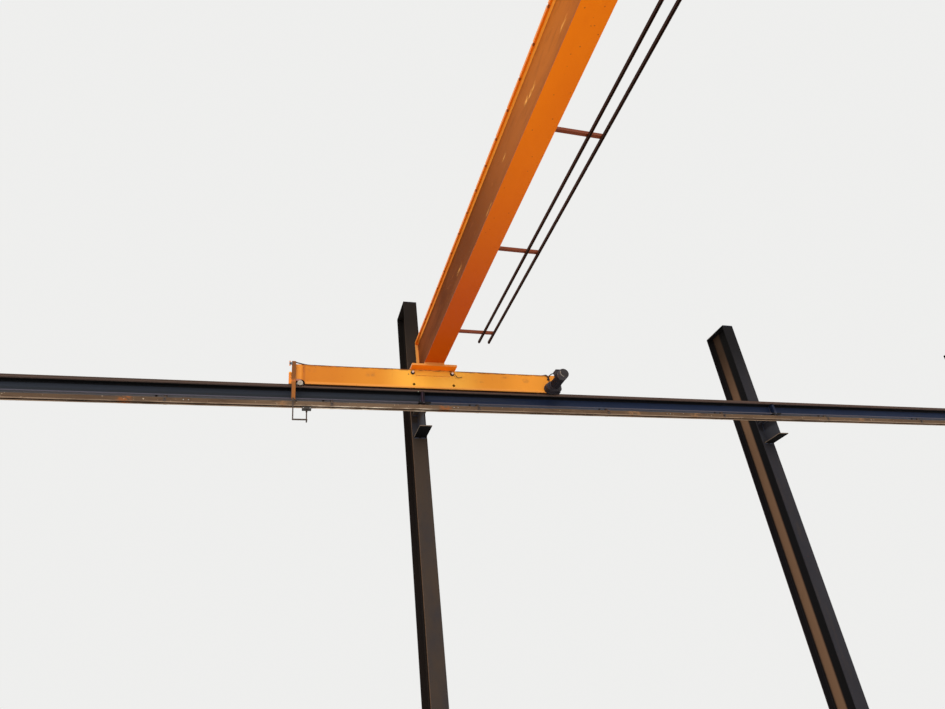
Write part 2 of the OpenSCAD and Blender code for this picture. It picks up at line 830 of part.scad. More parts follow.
// Rope drum between the cross plates, with the motor and the gear case outside them
module hoist() {
    color("#3f4348") on_bridge() translate([0, hoist_y, drum_z]) {
        rotate([90, 0, 0]) cylinder(d = drum_d, h = drum_l, center = true);
        rotate([90, 0, 0])
            cylinder(d = drum_shaft_d, h = trolley_l - 2 * trolley_plate, center = true);
        translate([0, trolley_l / 2 + hoist_motor_l, 0]) rotate([90, 0, 0])
            cylinder(d = hoist_motor_d, h = hoist_motor_l);
        translate([0, -trolley_l / 2, 0]) rotate([90, 0, 0])
            cylinder(d = hoist_gear_d, h = hoist_gear_l);
    }
}

module hoist_ropes() {
    color("#8c8a86") on_bridge() translate([0, hoist_y, block_top_z])
        for (x = [-1, 1], y = [-1, 1])
            translate([x * rope_x / 2, y * rope_y / 2, 0])
                cylinder(d = rope_d, h = rope_l);
}

// Hook block: a plate housing over a shank and a bent hook
module hook_block() {
    half_x = (rope_x + rope_d) / 2 + block_rim_x;
    half_y = (rope_y + rope_d) / 2 + block_rim_y;
    shank_z = block_bottom_z - shank_l;
    color("#d9a41c") on_bridge() translate([0, hoist_y, 0]) {
        block(
            [-half_x, -half_y, block_bottom_z],
            [half_x, half_y, block_top_z]
        );
        translate([0, 0, shank_z]) cylinder(d = hook_d, h = shank_l);
        translate([0, 0, shank_z - hook_r]) rotate([90, 0, 0]) rotate([0, 0, 90])
            rotate_extrude(angle = 270) translate([hook_r, 0]) circle(d = hook_d);
    }
}

column(1, 1);  // column_wall_1
column(2, 1);  // column_wall_2
column(3, 1);  // column_wall_3
column(4, 1);  // column_wall_4
column(1, -1);  // column_far_1
column(2, -1);  // column_far_2
column(3, -1);  // column_far_3
column(4, -1);  // column_far_4
corbels(1);  // corbels_wall
corbels(-1);  // corbels_far
runway_beam(1);  // runway_beam_wall
runway_beam(-1);  // runway_beam_far
rail(1);  // rail_wall
rail(-1);  // rail_far
end_stops(1);  // end_stops_wall
end_stops(-1);  // end_stops_far
conductor_line();
conductor_hangers();
girder_bottom_flange();
girder_top_flange();
girder_web_left();
girder_web_right();
girder_end_plates();
girder_edge_strip();
head_plate(1);  // head_plate_wall
head_plate(-1);  // head_plate_far
end_carriage(1);  // end_carriage_wall
end_carriage(-1);  // end_carriage_far
wheels(1);  // wheels_wall
wheels(-1);  // wheels_far
guide_rollers();
buffers();
gear_cases();
drive_motors();
collector_post();
collector_arm();
collector();
cable_rails();
cable_rail_arms();
carriage_cables();
trolley_frame();
trolley_wheels();
hoist();
hoist_ropes();
hook_block();
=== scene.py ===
import json
import math
import random
from itertools import product

import bpy
from mathutils import Matrix, Vector

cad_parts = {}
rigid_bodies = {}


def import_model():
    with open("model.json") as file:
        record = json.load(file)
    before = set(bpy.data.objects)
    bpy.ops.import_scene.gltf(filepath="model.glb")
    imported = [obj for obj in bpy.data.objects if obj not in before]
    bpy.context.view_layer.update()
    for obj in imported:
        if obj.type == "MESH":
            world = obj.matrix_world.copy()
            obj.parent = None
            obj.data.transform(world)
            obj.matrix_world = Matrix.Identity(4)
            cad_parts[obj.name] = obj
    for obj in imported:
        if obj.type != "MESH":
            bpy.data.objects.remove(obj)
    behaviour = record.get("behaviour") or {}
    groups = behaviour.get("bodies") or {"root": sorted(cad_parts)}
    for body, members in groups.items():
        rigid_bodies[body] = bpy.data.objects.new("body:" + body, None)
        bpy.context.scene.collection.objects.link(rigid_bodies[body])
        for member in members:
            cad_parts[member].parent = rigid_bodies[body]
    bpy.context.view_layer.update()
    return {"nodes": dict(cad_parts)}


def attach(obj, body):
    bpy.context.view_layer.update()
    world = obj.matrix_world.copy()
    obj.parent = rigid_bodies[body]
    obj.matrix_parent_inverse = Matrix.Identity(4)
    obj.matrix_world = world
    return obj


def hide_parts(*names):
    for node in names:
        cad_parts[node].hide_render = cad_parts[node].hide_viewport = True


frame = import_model()
scene = bpy.context.scene
random.seed(7)

# Places in the shared frame, in metres
BX = -2.837                      # middle of the bridge
RAIL_Y, RAIL_TOP, BEAM_TOP, BEAM_LOW = 8.0, 6.25, 6.19, 5.99
COLUMNS = (-9.0, -3.0, 3.0, 9.0)
COL_FACE, COL_D, COL_W = 8.285, 0.53, 0.21
CAR_LOW, CAR_TOP, CAR_END, CAR_FACE, CAR_BACK = 6.21, 6.51, 1.925, 7.875, 8.125
SEAT, GIRDER, GIRDER_TOP = 6.54, 6.565, 7.165
GIRDER_FOOT, GIRDER_CEIL = GIRDER + 0.012, GIRDER_TOP - 0.01    # inner faces of its flanges
WEB_X, FLANGE_X = 0.103, 0.145
HOUSE_LOW, HOUSE_TOP, HOUSE_Y = 5.878, 5.938, 7.905
HOIST_Y = -2.5
NOTCH_PITCH = 0.376              # of the notches in the girder's edge strip
X, Y, Z = Vector((1, 0, 0)), Vector((0, 1, 0)), Vector((0, 0, 1))
ROWS = (("wall", 1), ("far", -1))
BOTH = (-1, 1)


# --- materials: colours are screen values from 0 to 255

def linear(colour):
    part = [v / 255.0 for v in colour]
    return (*(v / 12.92 if v <= 0.04045 else ((v + 0.055) / 1.055) ** 2.4 for v in part), 1.0)


class Tree:
    """The cleared node tree of a material or world."""

    def __init__(self, owner):
        owner.use_nodes = True
        self.tree = owner.node_tree
        self.tree.nodes.clear()

    def node(self, kind, *values):
        """A new node, with values or links on its first inputs."""
        n = self.tree.nodes.new(kind)
        for value, socket in zip(values, n.inputs):
            self.feed(value, socket)
        return n

    def feed(self, value, socket):
        if isinstance(value, bpy.types.NodeSocket):
            self.tree.links.new(value, socket)
        else:
            socket.default_value = value

    def math(self, op, a, b=0.0):
        n = self.node("ShaderNodeMath", a, b)
        n.operation = op
        return n.outputs[0]

    def step(self, value, low, high):
        """0 at low, 1 at high, smooth between; low may be above high."""
        ends = (low, high, 0.0, 1.0) if low < high else (high, low, 1.0, 0.0)
        n = self.node("ShaderNodeMapRange", value, *ends)
        n.interpolation_type = "SMOOTHSTEP"
        return n.outputs[0]


class Look(Tree):
    """One procedural material, built up in layers."""

    def __init__(self, name, base, rough, metallic, spec):
        self.mat = bpy.data.materials.new(name)
        super().__init__(self.mat)
        self.bsdf = self.node("ShaderNodeBsdfPrincipled")
        self.node("ShaderNodeOutputMaterial", self.bsdf.outputs["BSDF"])
        self.bsdf.inputs["Metallic"].default_value = metallic
        self.bsdf.inputs["Specular IOR Level"].default_value = spec
        self.obj = self.node("ShaderNodeTexCoord").outputs["Object"]
        normal = self.node("ShaderNodeNewGeometry").outputs["Normal"]
        self.xyz = self.node("ShaderNodeSeparateXYZ", self.obj).outputs
        self.normal = self.node("ShaderNodeSeparateXYZ", normal).outputs
        self.colour = self.mat.diffuse_color = linear(base)
        self.rough = rough

    def place(self, name):
        """X, Y or Z; with n, of the normal; in bars, without its sign; or a distance."""
        if name == "across":             # from the middle of the bridge
            return self.away(self.xyz["X"], BX)
        if name == "off_rail":           # from the middle of the nearer rail
            return self.away(self.place("|Y|"), RAIL_Y)
        if name == "notch":              # from the nearest notch, in parts of the pitch
            turn = self.math("ADD", self.math("DIVIDE", self.xyz["Y"], NOTCH_PITCH), 100.5)
            return self.away(self.math("FRACT", turn), 0.5)
        if name[0] == "|":
            return self.math("ABSOLUTE", self.place(name[1:-1]))
        return self.normal[name[1]] if name[0] == "n" else self.xyz[name]

    def away(self, value, centre):
        return self.math("ABSOLUTE", self.math("SUBTRACT", value, centre))

    def noise(self, scale, detail=3.0, rough=0.55, stretch=None, warp=0.0):
        n = self.node("ShaderNodeTexNoise")
        for name, value in (("Scale", scale), ("Detail", detail), ("Roughness", rough), ("Distortion", warp)):
            n.inputs[name].default_value = value
        vec = self.obj
        if stretch:
            v = self.node("ShaderNodeVectorMath", self.obj, stretch)
            v.operation = "MULTIPLY"
            vec = v.outputs[0]
        self.feed(vec, n.inputs["Vector"])
        return n.outputs["Fac"]

    def cells(self, scale):
        n = self.node("ShaderNodeTexVoronoi", self.obj)
        n.inputs["Scale"].default_value = scale
        return n.outputs["Distance"]

    def mix(self, fac, a, b, kind):
        """Blends two colours or two numbers; their sockets start at different places."""
        n = self.node("ShaderNodeMix", fac)
        n.data_type = kind
        first, out = (6, 2) if kind == "RGBA" else (2, 0)
        self.feed(a, n.inputs[first])
        self.feed(b, n.inputs[first + 1])
        return n.outputs[out]

    def over(self, colour, rough, amount, *masks):
        """Lays a colour over what is there, where all masks are 1."""
        mask = masks[0](self)
        for other in masks[1:]:
            mask = self.math("MULTIPLY", mask, other(self))
        if amount != 1:
            mask = self.math("MULTIPLY", mask, amount)
        self.colour = self.mix(mask, self.colour, linear(colour), "RGBA")
        if rough is not None:
            self.rough = self.mix(mask, self.rough, rough, "FLOAT")

    def done(self, bumps):
        """Each bump is (scale, detail, height in metres and maybe roughness of its noise)."""
        self.feed(self.colour, self.bsdf.inputs["Base Color"])
        self.feed(self.rough, self.bsdf.inputs["Roughness"])
        last = None
        for scale, detail, size, *rough in bumps:
            n = self.node("ShaderNodeBump")
            n.inputs["Strength"].default_value = 1.0
            n.inputs["Distance"].default_value = size
            self.feed(self.noise(scale, detail, *rough), n.inputs["Height"])
            if last:
                self.feed(last, n.inputs["Normal"])
            last = n.outputs["Normal"]
            self.feed(last, self.bsdf.inputs["Normal"])
        return self.mat


# Masks for the layers

def by(place, low, high):
    """0 where the place is at low, 1 where it is at high."""
    return lambda k: k.step(k.place(place), low, high)


def band(place, low, high, soft=0.02):
    """1 between low and high."""
    return lambda k: k.math("MULTIPLY", k.step(k.place(place), low - soft, low + soft),
                            k.step(k.place(place), high + soft, high - soft))


def cloud(low, high, *noise):
    """0 where the noise is at low, 1 where it is at high."""
    return lambda k: k.step(k.noise(*noise), low, high)


def notches(half):
    """1 near the notches of the edge strip, which repeat along the girder."""
    return by("notch", half * 1.25 / NOTCH_PITCH, half * 0.75 / NOTCH_PITCH)


def hole(across, z, outer, inner):
    """1 inside a round hole in the carriage's face."""
    def mask(k):
        dx, dz = k.math("SUBTRACT", k.place("across"), across), k.math("SUBTRACT", k.xyz["Z"], z)
        return k.step(k.math("ADD", k.math("MULTIPLY", dx, dx), k.math("MULTIPLY", dz, dz)), outer ** 2, inner ** 2)
    return mask


LEFT, UNDER = by("nX", -0.4, -0.8), by("nZ", -0.3, -0.8)
FRONT, BROAD = by("|nY|", 0.5, 0.9), by("|nX|", 0.5, 0.9)


def look(name, base, rough, metallic, spec, *layers, bumps):
    """A material; each layer is (colour, roughness or None, amount, masks ...)."""
    k = Look(name, base, rough, metallic, spec)
    for layer in layers:
        k.over(*layer)
    return k.done(bumps)


def crane_paint(name, base, shade, dust, *layers, dust_up=0.8, grime=0.25, along=(1, 1, 1), spec=0.15):
    """Satin orange machine paint: cloudy tone, dust on what faces up, specks and chips."""
    return look(
        name, base, 0.42, 0.0, spec,
        (shade, None, 0.55, cloud(0.35, 0.72, 0.9, 4, 0.6, along)),
        (shade, None, 0.5, cloud(0.52, 0.78, 7.0, 5, 0.62, along)),
        (dust, 0.75, grime, cloud(0.5, 0.8, 2.3, 6, 0.7, along, 0.6)),
        (dust, 0.85, dust_up, by("nZ", 0.35, 0.9), cloud(0.2, 0.62, 5.0, 5, 0.65)),
        ((96, 52, 30), 0.8, 0.5, lambda k: k.step(k.cells(11.0), 0.1, 0.055)),
        ((84, 50, 36), 0.8, 0.75, cloud(0.7, 0.76, 30.0, 2, 0.5), cloud(0.5, 0.62, 1.7, 2)),
        *layers, bumps=((140.0, 2, 0.0006, 0.5), (3.0, 2, 0.004, 0.5)))


def weld_look(name, base, dark):
    return look(name, base, 0.5, 0.0, 0.2, (dark, 0.7, 0.75, cloud(0.42, 0.66, 26.0, 4, 0.6)),
                bumps=((220.0, 2, 0.0007),))


def steel(name, base, dark, rough, metallic, scale=22.0, rust=0.0):
    rusty = [((112, 62, 36), 0.85, rust, cloud(0.52, 0.66, scale * 0.6, 6, 0.7, None, 0.5))] if rust else []
    return look(name, base, rough, metallic, 0.5, (dark, rough + 0.25, 0.7, cloud(0.4, 0.7, scale, 5, 0.62)), *rusty,
                bumps=((scale * 6, 3, 0.0005),))


def rubber(name, base, dust):
    return look(name, base, 0.75, 0.0, 0.35,
                (dust, 0.9, 0.45, cloud(0.45, 0.7, 16.0, 4, 0.6)),
                (dust, 0.95, 0.6, by("nZ", 0.2, 0.9), cloud(0.3, 0.6, 22.0, 3)), bumps=((260.0, 2, 0.0004),))


GIRDER_UNDER = crane_paint(
    "paint_girder_under", (255, 130, 2), (246, 116, 1), (196, 96, 20),
    # painted shade: the underside darkens towards both ends
    ((201, 78, 1), None, 1, by("|Y|", 2.6, 6.6)),
    ((206, 84, 2), None, 0.25, cloud(0.45, 0.75, 1.1, 2, 0.5, (1, 0.2, 1))),
    # the left edge faces are darker, and painted shade darkens them more towards the ends
    ((176, 88, 24), None, 1, LEFT),
    ((140, 64, 18), None, 1, LEFT, by("|Y|", 2.5, 7.0)),
    grime=0.1, along=(1, 0.35, 1), spec=0.08)
GIRDER_TOPS = crane_paint(
    "paint_girder_top", (255, 126, 4), (246, 112, 2), (150, 118, 86),
    ((214, 96, 14), None, 0.35, LEFT, cloud(0.35, 0.7, 4.0, 4, 0.6, (1, 0.5, 1))),
    # painted shade in and around the notches on the top flange's left edge
    ((96, 46, 14), 0.7, 0.8, notches(0.016), by("nZ", 0.5, 0.2), by("X", BX - 0.12, BX - 0.138)),
    # painted shade: darker towards both ends
    ((214, 94, 6), None, 0.4, by("|Y|", 3.5, 8.0)),
    grime=0.1, along=(1, 0.4, 1))

# Left web: brown dust over the orange, thicker along its foot, with painted shade that darkens it towards
# the ends; bright scuffs at (y, z, length, height)
SCUFFS = ((3.28, 6.87, 0.17, 0.035), (3.42, 6.90, 0.08, 0.05), (4.10, 6.87, 0.12, 0.018),
          (4.70, 6.70, 0.2, 0.012), (2.55, 6.80, 0.14, 0.02), (5.9, 6.8, 0.2, 0.02),
          (0.6, 6.72, 0.3, 0.03), (-3.2, 6.82, 0.35, 0.03), (-6.1, 6.7, 0.2, 0.03))
WEB_LEFT = look(
    "paint_girder_web_left", (210, 116, 34), 0.6, 0.0, 0.04,
    # painted shade: darker towards both ends
    ((190, 106, 42), 0.6, 1, by("|Y|", 1.6, 3.8)),
    ((122, 62, 24), 0.7, 1, by("|Y|", 3.0, 5.6)),
    ((94, 45, 14), 0.7, 1, by("|Y|", 5.2, 7.6)),
    ((170, 88, 38), 0.7, 0.4, cloud(0.4, 0.7, 1.3, 5, 0.62, (1, 0.5, 1.6))),
    ((132, 74, 38), 0.8, 0.4, cloud(0.47, 0.75, 5.5, 5, 0.65, (1, 0.5, 2.2))),
    ((138, 88, 54), 0.8, 0.5, by("Z", GIRDER + 0.27, GIRDER + 0.02), cloud(0.2, 0.6, 2.2, 4, 0.6, (1, 0.3, 1))),
    ((222, 126, 52), 0.5, 0.3, cloud(0.6, 0.72, 9.0, 5, 0.7, (1, 0.4, 3.5), 0.4)),
    *[((255, 178, 84), 0.45, 1, band("Y", y - dy / 2, y + dy / 2, 0.03), band("Z", z - dz / 2, z + dz / 2),
       cloud(0.42, 0.56, 30.0, 4, 0.7, (1, 0.5, 2.0))) for y, z, dy, dz in SCUFFS],
    ((236, 150, 80), 0.5, 0.5, cloud(0.72, 0.78, 60.0, 2, 0.5)),
    bumps=((160.0, 2, 0.0006), (3.0, 2, 0.004)))

WEB_RIGHT = crane_paint(
    "paint_girder_web_right", (228, 116, 24), (196, 94, 24), (158, 90, 44), grime=0.55, along=(1, 0.5, 2))
STRIP = crane_paint(
    "paint_edge_strip", (255, 150, 18), (255, 138, 12), (226, 124, 36),
    # painted shade in the notches of the edge strip
    ((92, 44, 14), 0.7, 0.85, notches(0.014), by("Z", GIRDER_TOP + 0.012, GIRDER_TOP + 0.006)),
    grime=0.08, spec=0.5)
EDGE_LINE = crane_paint("paint_edge_line", (255, 178, 66), (255, 162, 50), (232, 130, 44), grime=0.1, dust_up=0.3)
# lighter than the flanges' orange: a painted highlight for the corner bar
CORNER = steel("paint_corner_line", (255, 154, 46), (255, 146, 40), 0.35, 0.8)
# paler than the girder's orange: painted light on the end plates
END_EDGE = crane_paint("paint_end_plate", (242, 170, 84), (230, 150, 70), (190, 126, 74), grime=0.3)
# head plate: the pale fronts are painted light, the undersides saturated orange
HEAD = crane_paint(
    "paint_head_plate", (238, 154, 74), (232, 140, 60), (192, 112, 54),
    ((252, 126, 8), 0.45, 1, UNDER), grime=0.15)

# End carriage: orange faces, lighter towards the right and at the middle as painted light, dark patches and a
# painted shade line on the top edge, a brighter lip below, dirt at (x, z, radius), painted shade inside
DIRT = ((-1.72, 6.43, 0.05), (1.42, 6.40, 0.05), (0.7, 6.36, 0.05), (-0.9, 6.40, 0.06), (1.1, 6.45, 0.05))
CARRIAGE = crane_paint(
    "paint_carriage", (212, 124, 22), (206, 114, 16), (190, 114, 50),
    # painted light: lighter from left to right, and lightest at the middle
    ((222, 136, 32), None, 1, by("X", BX - 1.5, BX - 0.85)),
    ((232, 145, 40), None, 1, by("X", BX + 0.2, BX + 0.7)),
    ((244, 154, 46), None, 1, by("X", BX + 1.0, BX + 1.4)),
    ((255, 180, 64), None, 1, by("across", 0.85, 0.3)),
    ((96, 48, 20), 0.8, 0.95, FRONT, by("Z", CAR_TOP - 0.035, CAR_TOP - 0.002),
     cloud(0.44, 0.56, 9.0, 5, 0.7, (1, 1, 4))),
    ((246, 164, 74), 0.4, 0.5, FRONT, by("Z", CAR_LOW + 0.05, CAR_LOW + 0.02)),
    # painted shade: a dark line along the top edge, beside the head plate
    ((118, 66, 28), 0.7, 0.75, FRONT, by("across", 0.33, 0.36), by("Z", CAR_TOP - 0.016, CAR_TOP - 0.006)),
    ((176, 96, 34), 0.6, 0.55, FRONT, band("across", 1.798, 1.828, 0.008)),
    ((240, 148, 50), 0.45, 0.8, FRONT, band("across", 1.848, 1.94, 0.006)),
    *[((170, 102, 50), 0.75, 0.6, FRONT, band("X", BX + x - r, BX + x + r, 0.04),
       band("Z", z - r * 0.5, z + r * 0.5, 0.03), cloud(0.4, 0.62, 14.0, 4, 0.65)) for x, z, r in DIRT],
    ((196, 110, 36), 0.7, 0.35, FRONT, cloud(0.62, 0.74, 8.0, 4, 0.7, (3.5, 1, 0.5))),
    # painted shade on the faces inside the box
    ((26, 17, 11), 0.9, 1, by("off_rail", 0.1145, 0.1135), by("Z", CAR_TOP - 0.003, CAR_TOP - 0.005)),
    # painted shade in the round hole
    ((14, 9, 6), 0.9, 1, hole(0.2925, CAR_TOP - 0.24, 0.0195, 0.0188)),
    grime=0.15)
CRANE = crane_paint("paint_crane", (240, 132, 24), (222, 112, 18), (176, 106, 46), grime=0.3)
POST = crane_paint(
    "paint_post", (206, 116, 48), (176, 94, 42), (140, 92, 58),
    ((118, 74, 38), 0.8, 0.9, lambda k: k.step(k.math("ADD", k.xyz["Z"], k.math("MULTIPLY", k.noise(18.0, 3), 0.05)),
                                               RAIL_TOP - 0.01, RAIL_TOP + 0.06)),
    ((150, 92, 42), 0.8, 0.9, by("Z", RAIL_TOP - 0.02, RAIL_TOP - 0.04)),
    ((84, 58, 42), 0.8, 0.9, by("Z", RAIL_TOP - 0.06, RAIL_TOP - 0.075), by("X", BX - 1.97, BX - 1.974)),
    ((244, 140, 44), 0.5, 0.9, by("X", BX - 1.97, BX - 1.99), by("Z", RAIL_TOP - 0.07, RAIL_TOP - 0.06),
     cloud(0.3, 0.5, 30.0, 3)),
    grime=0.5)

WELD = weld_look("weld_orange", (238, 132, 44), (136, 66, 26))
WELD_DARK = weld_look("weld_web_foot", (176, 88, 36), (96, 48, 24))
WELD_BLUE = weld_look("weld_blue", (52, 60, 78), (70, 56, 46))

# Runway beam: blue web, brown dust on the flange edges and tops; painted light makes the undersides
# greyer and lighter, painted shade blackens the top flange's underside and the web below it
low = (UNDER, by("Z", BEAM_LOW + 0.02, BEAM_LOW + 0.005))
bay_1 = by("X", -2.97, -3.03)
edge = by("off_rail", 0.094, 0.0985)
high = by("Z", BEAM_TOP - 0.03, BEAM_TOP - 0.02)
BEAM = look(
    "paint_runway_beam", (24, 38, 66), 0.55, 0.0, 0.2,
    ((18, 30, 54), None, 0.6, cloud(0.35, 0.7, 0.7, 4, 0.6)),
    ((42, 45, 49), 0.7, 0.9, bay_1, cloud(0.1, 0.5, 1.1, 3)),
    ((44, 52, 66), 0.7, 0.5, cloud(0.5, 0.74, 6.0, 5, 0.68, (0.5, 1, 2.5))),
    # painted light: the undersides lighter and greyer
    ((86, 92, 110), 0.65, 0.9, *low),
    ((100, 94, 96), 0.75, 0.7, *low, cloud(0.45, 0.7, 5.0, 5, 0.65, (0.35, 1, 1))),
    ((116, 112, 114), 0.75, 0.8, *low, bay_1),
    # painted light: the web's foot and the bottom flange's front edge lighter
    ((84, 88, 101), 0.7, 0.75, FRONT, by("Z", BEAM_LOW + 0.052, BEAM_LOW + 0.036)),
    # painted light: the upper web lighter from x -1.2 leftwards
    ((54, 60, 72), 0.7, 0.5, FRONT, by("X", -1.2, -2.2), band("Z", BEAM_TOP - 0.1, BEAM_TOP - 0.042, 0.012)),
    # painted shade: black under the top flange and on the web just below it
    ((4, 4, 5), 0.9, 0.97, UNDER, high),
    ((5, 5, 7), 0.8, 0.95, FRONT, band("Z", BEAM_TOP - 0.036, BEAM_TOP - 0.014, 0.006)),
    ((62, 42, 54), 0.8, 0.9, band("X", -3.022, -3.002, 0.001)),
    ((22, 12, 16), 0.8, 0.95, band("X", -3.002, -2.975, 0.001)),
    ((84, 79, 87), 0.8, 0.9, edge, cloud(0.15, 0.5, 6.0, 4, 0.6, (0.4, 1, 1))),
    ((82, 62, 51), 0.85, 0.9, edge, high),
    # painted light: the top flange's edge lighter under the carriage
    ((112, 86, 72), 0.85, 0.8, edge, high, band("X", BX - 2.0, BX + 2.0, 0.1)),
    ((108, 90, 82), 0.85, 0.9, UNDER, high, by("off_rail", 0.068, 0.074)),
    ((112, 90, 68), 0.9, 0.9, by("nZ", 0.3, 0.8), cloud(0.1, 0.5, 4.0, 4, 0.6)),
    ((84, 52, 38), 0.85, 0.5, cloud(0.63, 0.72, 11.0, 6, 0.72, (0.5, 1, 1), 0.4)),
    bumps=((120.0, 2, 0.0008), (2.0, 2, 0.004)))
RAIL = look(
    "steel_rail", (86, 66, 57), 0.65, 0.1, 0.15,
    ((66, 50, 44), 0.8, 0.8, cloud(0.42, 0.7, 5.0, 5, 0.66, (0.35, 1, 1))),
    ((62, 48, 38), None, 0.7, by("X", -4.9, -6.4)),
    # painted light: the rail lighter under the carriage
    ((128, 96, 82), None, 0.8, by("across", 2.0, 1.86)),
    ((104, 68, 48), 0.85, 0.4, cloud(0.56, 0.7, 24.0, 4, 0.6, (0.4, 1, 1))),
    ((186, 184, 180), 0.28, 0.85, by("nZ", 0.4, 0.9), cloud(0.25, 0.45, 3.0, 3, 0.6, (0.2, 1, 1))),
    bumps=((60.0, 3, 0.0008),))

# Conductor housing: grey-brown dust, rubbed bright lips, patches at (x0, x1, colour)
lip = by("Z", HOUSE_LOW + 0.004, HOUSE_LOW + 0.001)
RUST, TAN = (158, 92, 44), (150, 110, 76)
PATCHES = ((-6.88, -6.74, RUST), (-2.78, -2.63, RUST), (-4.98, -4.88, TAN), (0.2, 0.4, TAN), (1.3, 1.5, TAN),
           (4.66, 4.76, TAN))
HOUSING = look(
    "sheet_housing", (104, 82, 62), 0.75, 0.0, 0.1,
    ((84, 64, 49), 0.8, 0.8, cloud(0.36, 0.68, 2.2, 5, 0.65, (0.35, 1, 1))),
    ((84, 65, 50), None, 0.5, by("|X|", 4.6, 7.5)),
    ((118, 96, 76), None, 0.6, band("X", -5.2, -2.2, 0.5)),
    ((74, 55, 43), 0.85, 0.6, cloud(0.5, 0.7, 14.0, 5, 0.7, (0.35, 1, 1.6))),
    ((176, 146, 120), 0.5, 0.85, lip, cloud(0.3, 0.5, 2.2, 5, 0.7, (0.4, 1, 1))),
    ((255, 232, 204), 0.5, 0.9, lip, band("X", -4.6, -2.9, 0.3), cloud(0.4, 0.6, 7.0, 4, 0.7, (0.4, 1, 1))),
    ((68, 58, 56), 0.7, 0.6, by("Z", HOUSE_TOP - 0.02, HOUSE_TOP - 0.004),
     cloud(0.5, 0.62, 6.0, 4, 0.7, (0.3, 1, 1))),
    *[(colour, 0.8, 0.7, band("X", x0, x1, 0.04), cloud(0.42, 0.56, 20.0, 4, 0.65)) for x0, x1, colour in PATCHES],
    ((206, 182, 154), 0.5, 0.8, cloud(0.7, 0.76, 46.0, 2, 0.5, (0.7, 1, 1))),
    bumps=((90.0, 3, 0.0012), (5.0, 3, 0.003)))
HANGER = look(
    "steel_hanger", (80, 68, 60), 0.7, 0.1, 0.2,
    ((56, 44, 38), 0.85, 0.8, cloud(0.45, 0.65, 24.0, 4, 0.6)),
    ((112, 74, 50), 0.85, 0.6, cloud(0.55, 0.68, 9.0, 4, 0.6)),
    bumps=((120.0, 2, 0.0008),))

# Columns and corbels: blue-black paint, brown haze, runs of dirt, painted shade in the recesses, under the corbels
# and at the top
COL_BACK = COL_FACE + COL_D
COLUMN = look(
    "paint_column", (50, 48, 52), 0.6, 0.0, 0.08,
    ((40, 38, 42), None, 0.7, cloud(0.35, 0.7, 0.8, 4, 0.6, (1, 1, 0.5))),
    ((72, 58, 46), 0.65, 0.8, band("X", -4.5, -1.5, 0.5), cloud(0.2, 0.55, 1.6, 4, 0.6, (1, 1, 0.5))),
    ((62, 54, 50), 0.75, 0.55, cloud(0.5, 0.74, 7.0, 5, 0.68, (2.2, 2.2, 0.3))),
    ((104, 86, 70), 0.9, 0.85, by("nZ", 0.3, 0.8), cloud(0.2, 0.5, 5.0, 4)),
    ((108, 92, 76), 0.85, 0.7, by("Z", 1.1, 0.0), cloud(0.4, 0.62, 6.0, 5, 0.7)),
    ((116, 66, 42), 0.85, 0.85, by("Z", 2.2, 0.2), cloud(0.6, 0.68, 21.0, 5, 0.72, None, 0.5)),
    ((98, 60, 42), 0.85, 0.6, cloud(0.7, 0.76, 40.0, 3, 0.6)),
    # painted shade: faces across X behind the front flange black
    ((12, 10, 10), 0.8, 0.95, BROAD, by("|Y|", COL_FACE + 0.01, COL_FACE + 0.03)),
    ((132, 99, 74), 0.7, 0.85, BROAD, band("|Y|", COL_FACE + 0.29, COL_BACK - 0.06, 0.025)),
    ((58, 46, 42), 0.6, 0.85, BROAD, by("|Y|", COL_BACK - 0.018, COL_BACK - 0.016)),
    # painted shade: black on the flanges' inner faces
    ((14, 11, 11), 0.8, 0.8, FRONT, band("|Y|", COL_FACE + 0.012, COL_BACK - 0.012, 0.003)),
    # painted shade: darker above 6.25 m
    ((13, 10, 8), 0.8, 0.78, by("Z", 6.25, 7.75)),
    # painted shade: black under the corbels
    ((5, 4, 4), 0.95, 1, UNDER, by("Z", BEAM_LOW - 0.34, BEAM_LOW - 0.36)),
    ((112, 96, 82), 0.7, 0.9, band("Z", BEAM_LOW - 0.367, BEAM_LOW - 0.347, 0.001), by("nZ", -0.6, -0.3),
     by("|Y|", COL_FACE - 0.001, COL_FACE - 0.004)),
    ((72, 72, 78), 0.6, 0.75, band("Z", 5.66, 5.86, 0.03), band("|Y|", 7.9, COL_FACE + 0.005, 0.003)),
    bumps=((130.0, 2, 0.0008), (2.5, 2, 0.003)))

MOTOR = look(
    "paint_motor", (56, 50, 56), 0.5, 0.0, 0.25,
    ((40, 36, 40), 0.6, 0.8, cloud(0.42, 0.7, 9.0, 5, 0.65)),
    ((112, 96, 84), 0.85, 0.7, by("nZ", 0.2, 0.9), cloud(0.25, 0.6, 14.0, 4)),
    ((92, 80, 78), 0.7, 0.5, cloud(0.66, 0.74, 44.0, 3)),
    bumps=((180.0, 3, 0.0007),))
FAN = look(
    "paint_fan_cover", (78, 72, 74), 0.5, 0.0, 0.15,
    ((62, 58, 62), 0.6, 0.8, cloud(0.42, 0.66, 18.0, 5, 0.65)),
    ((50, 45, 45), 0.6, 0.9, by("|nY|", 0.9, 0.98)),
    bumps=((160.0, 3, 0.0006),))
CASE = look(
    "cast_gear_case", (54, 49, 54), 0.5, 0.0, 0.25,
    ((38, 32, 34), 0.65, 0.8, cloud(0.4, 0.66, 11.0, 5, 0.65)),
    ((124, 104, 104), 0.85, 0.75, by("nZ", 0.2, 0.8), cloud(0.2, 0.55, 14.0, 4)),
    ((92, 54, 46), 0.7, 0.6, cloud(0.62, 0.7, 26.0, 4)),
    bumps=((240.0, 3, 0.0014, 0.7),))
LEDGE = weld_look("cast_ledge", (128, 104, 122), (84, 66, 76))
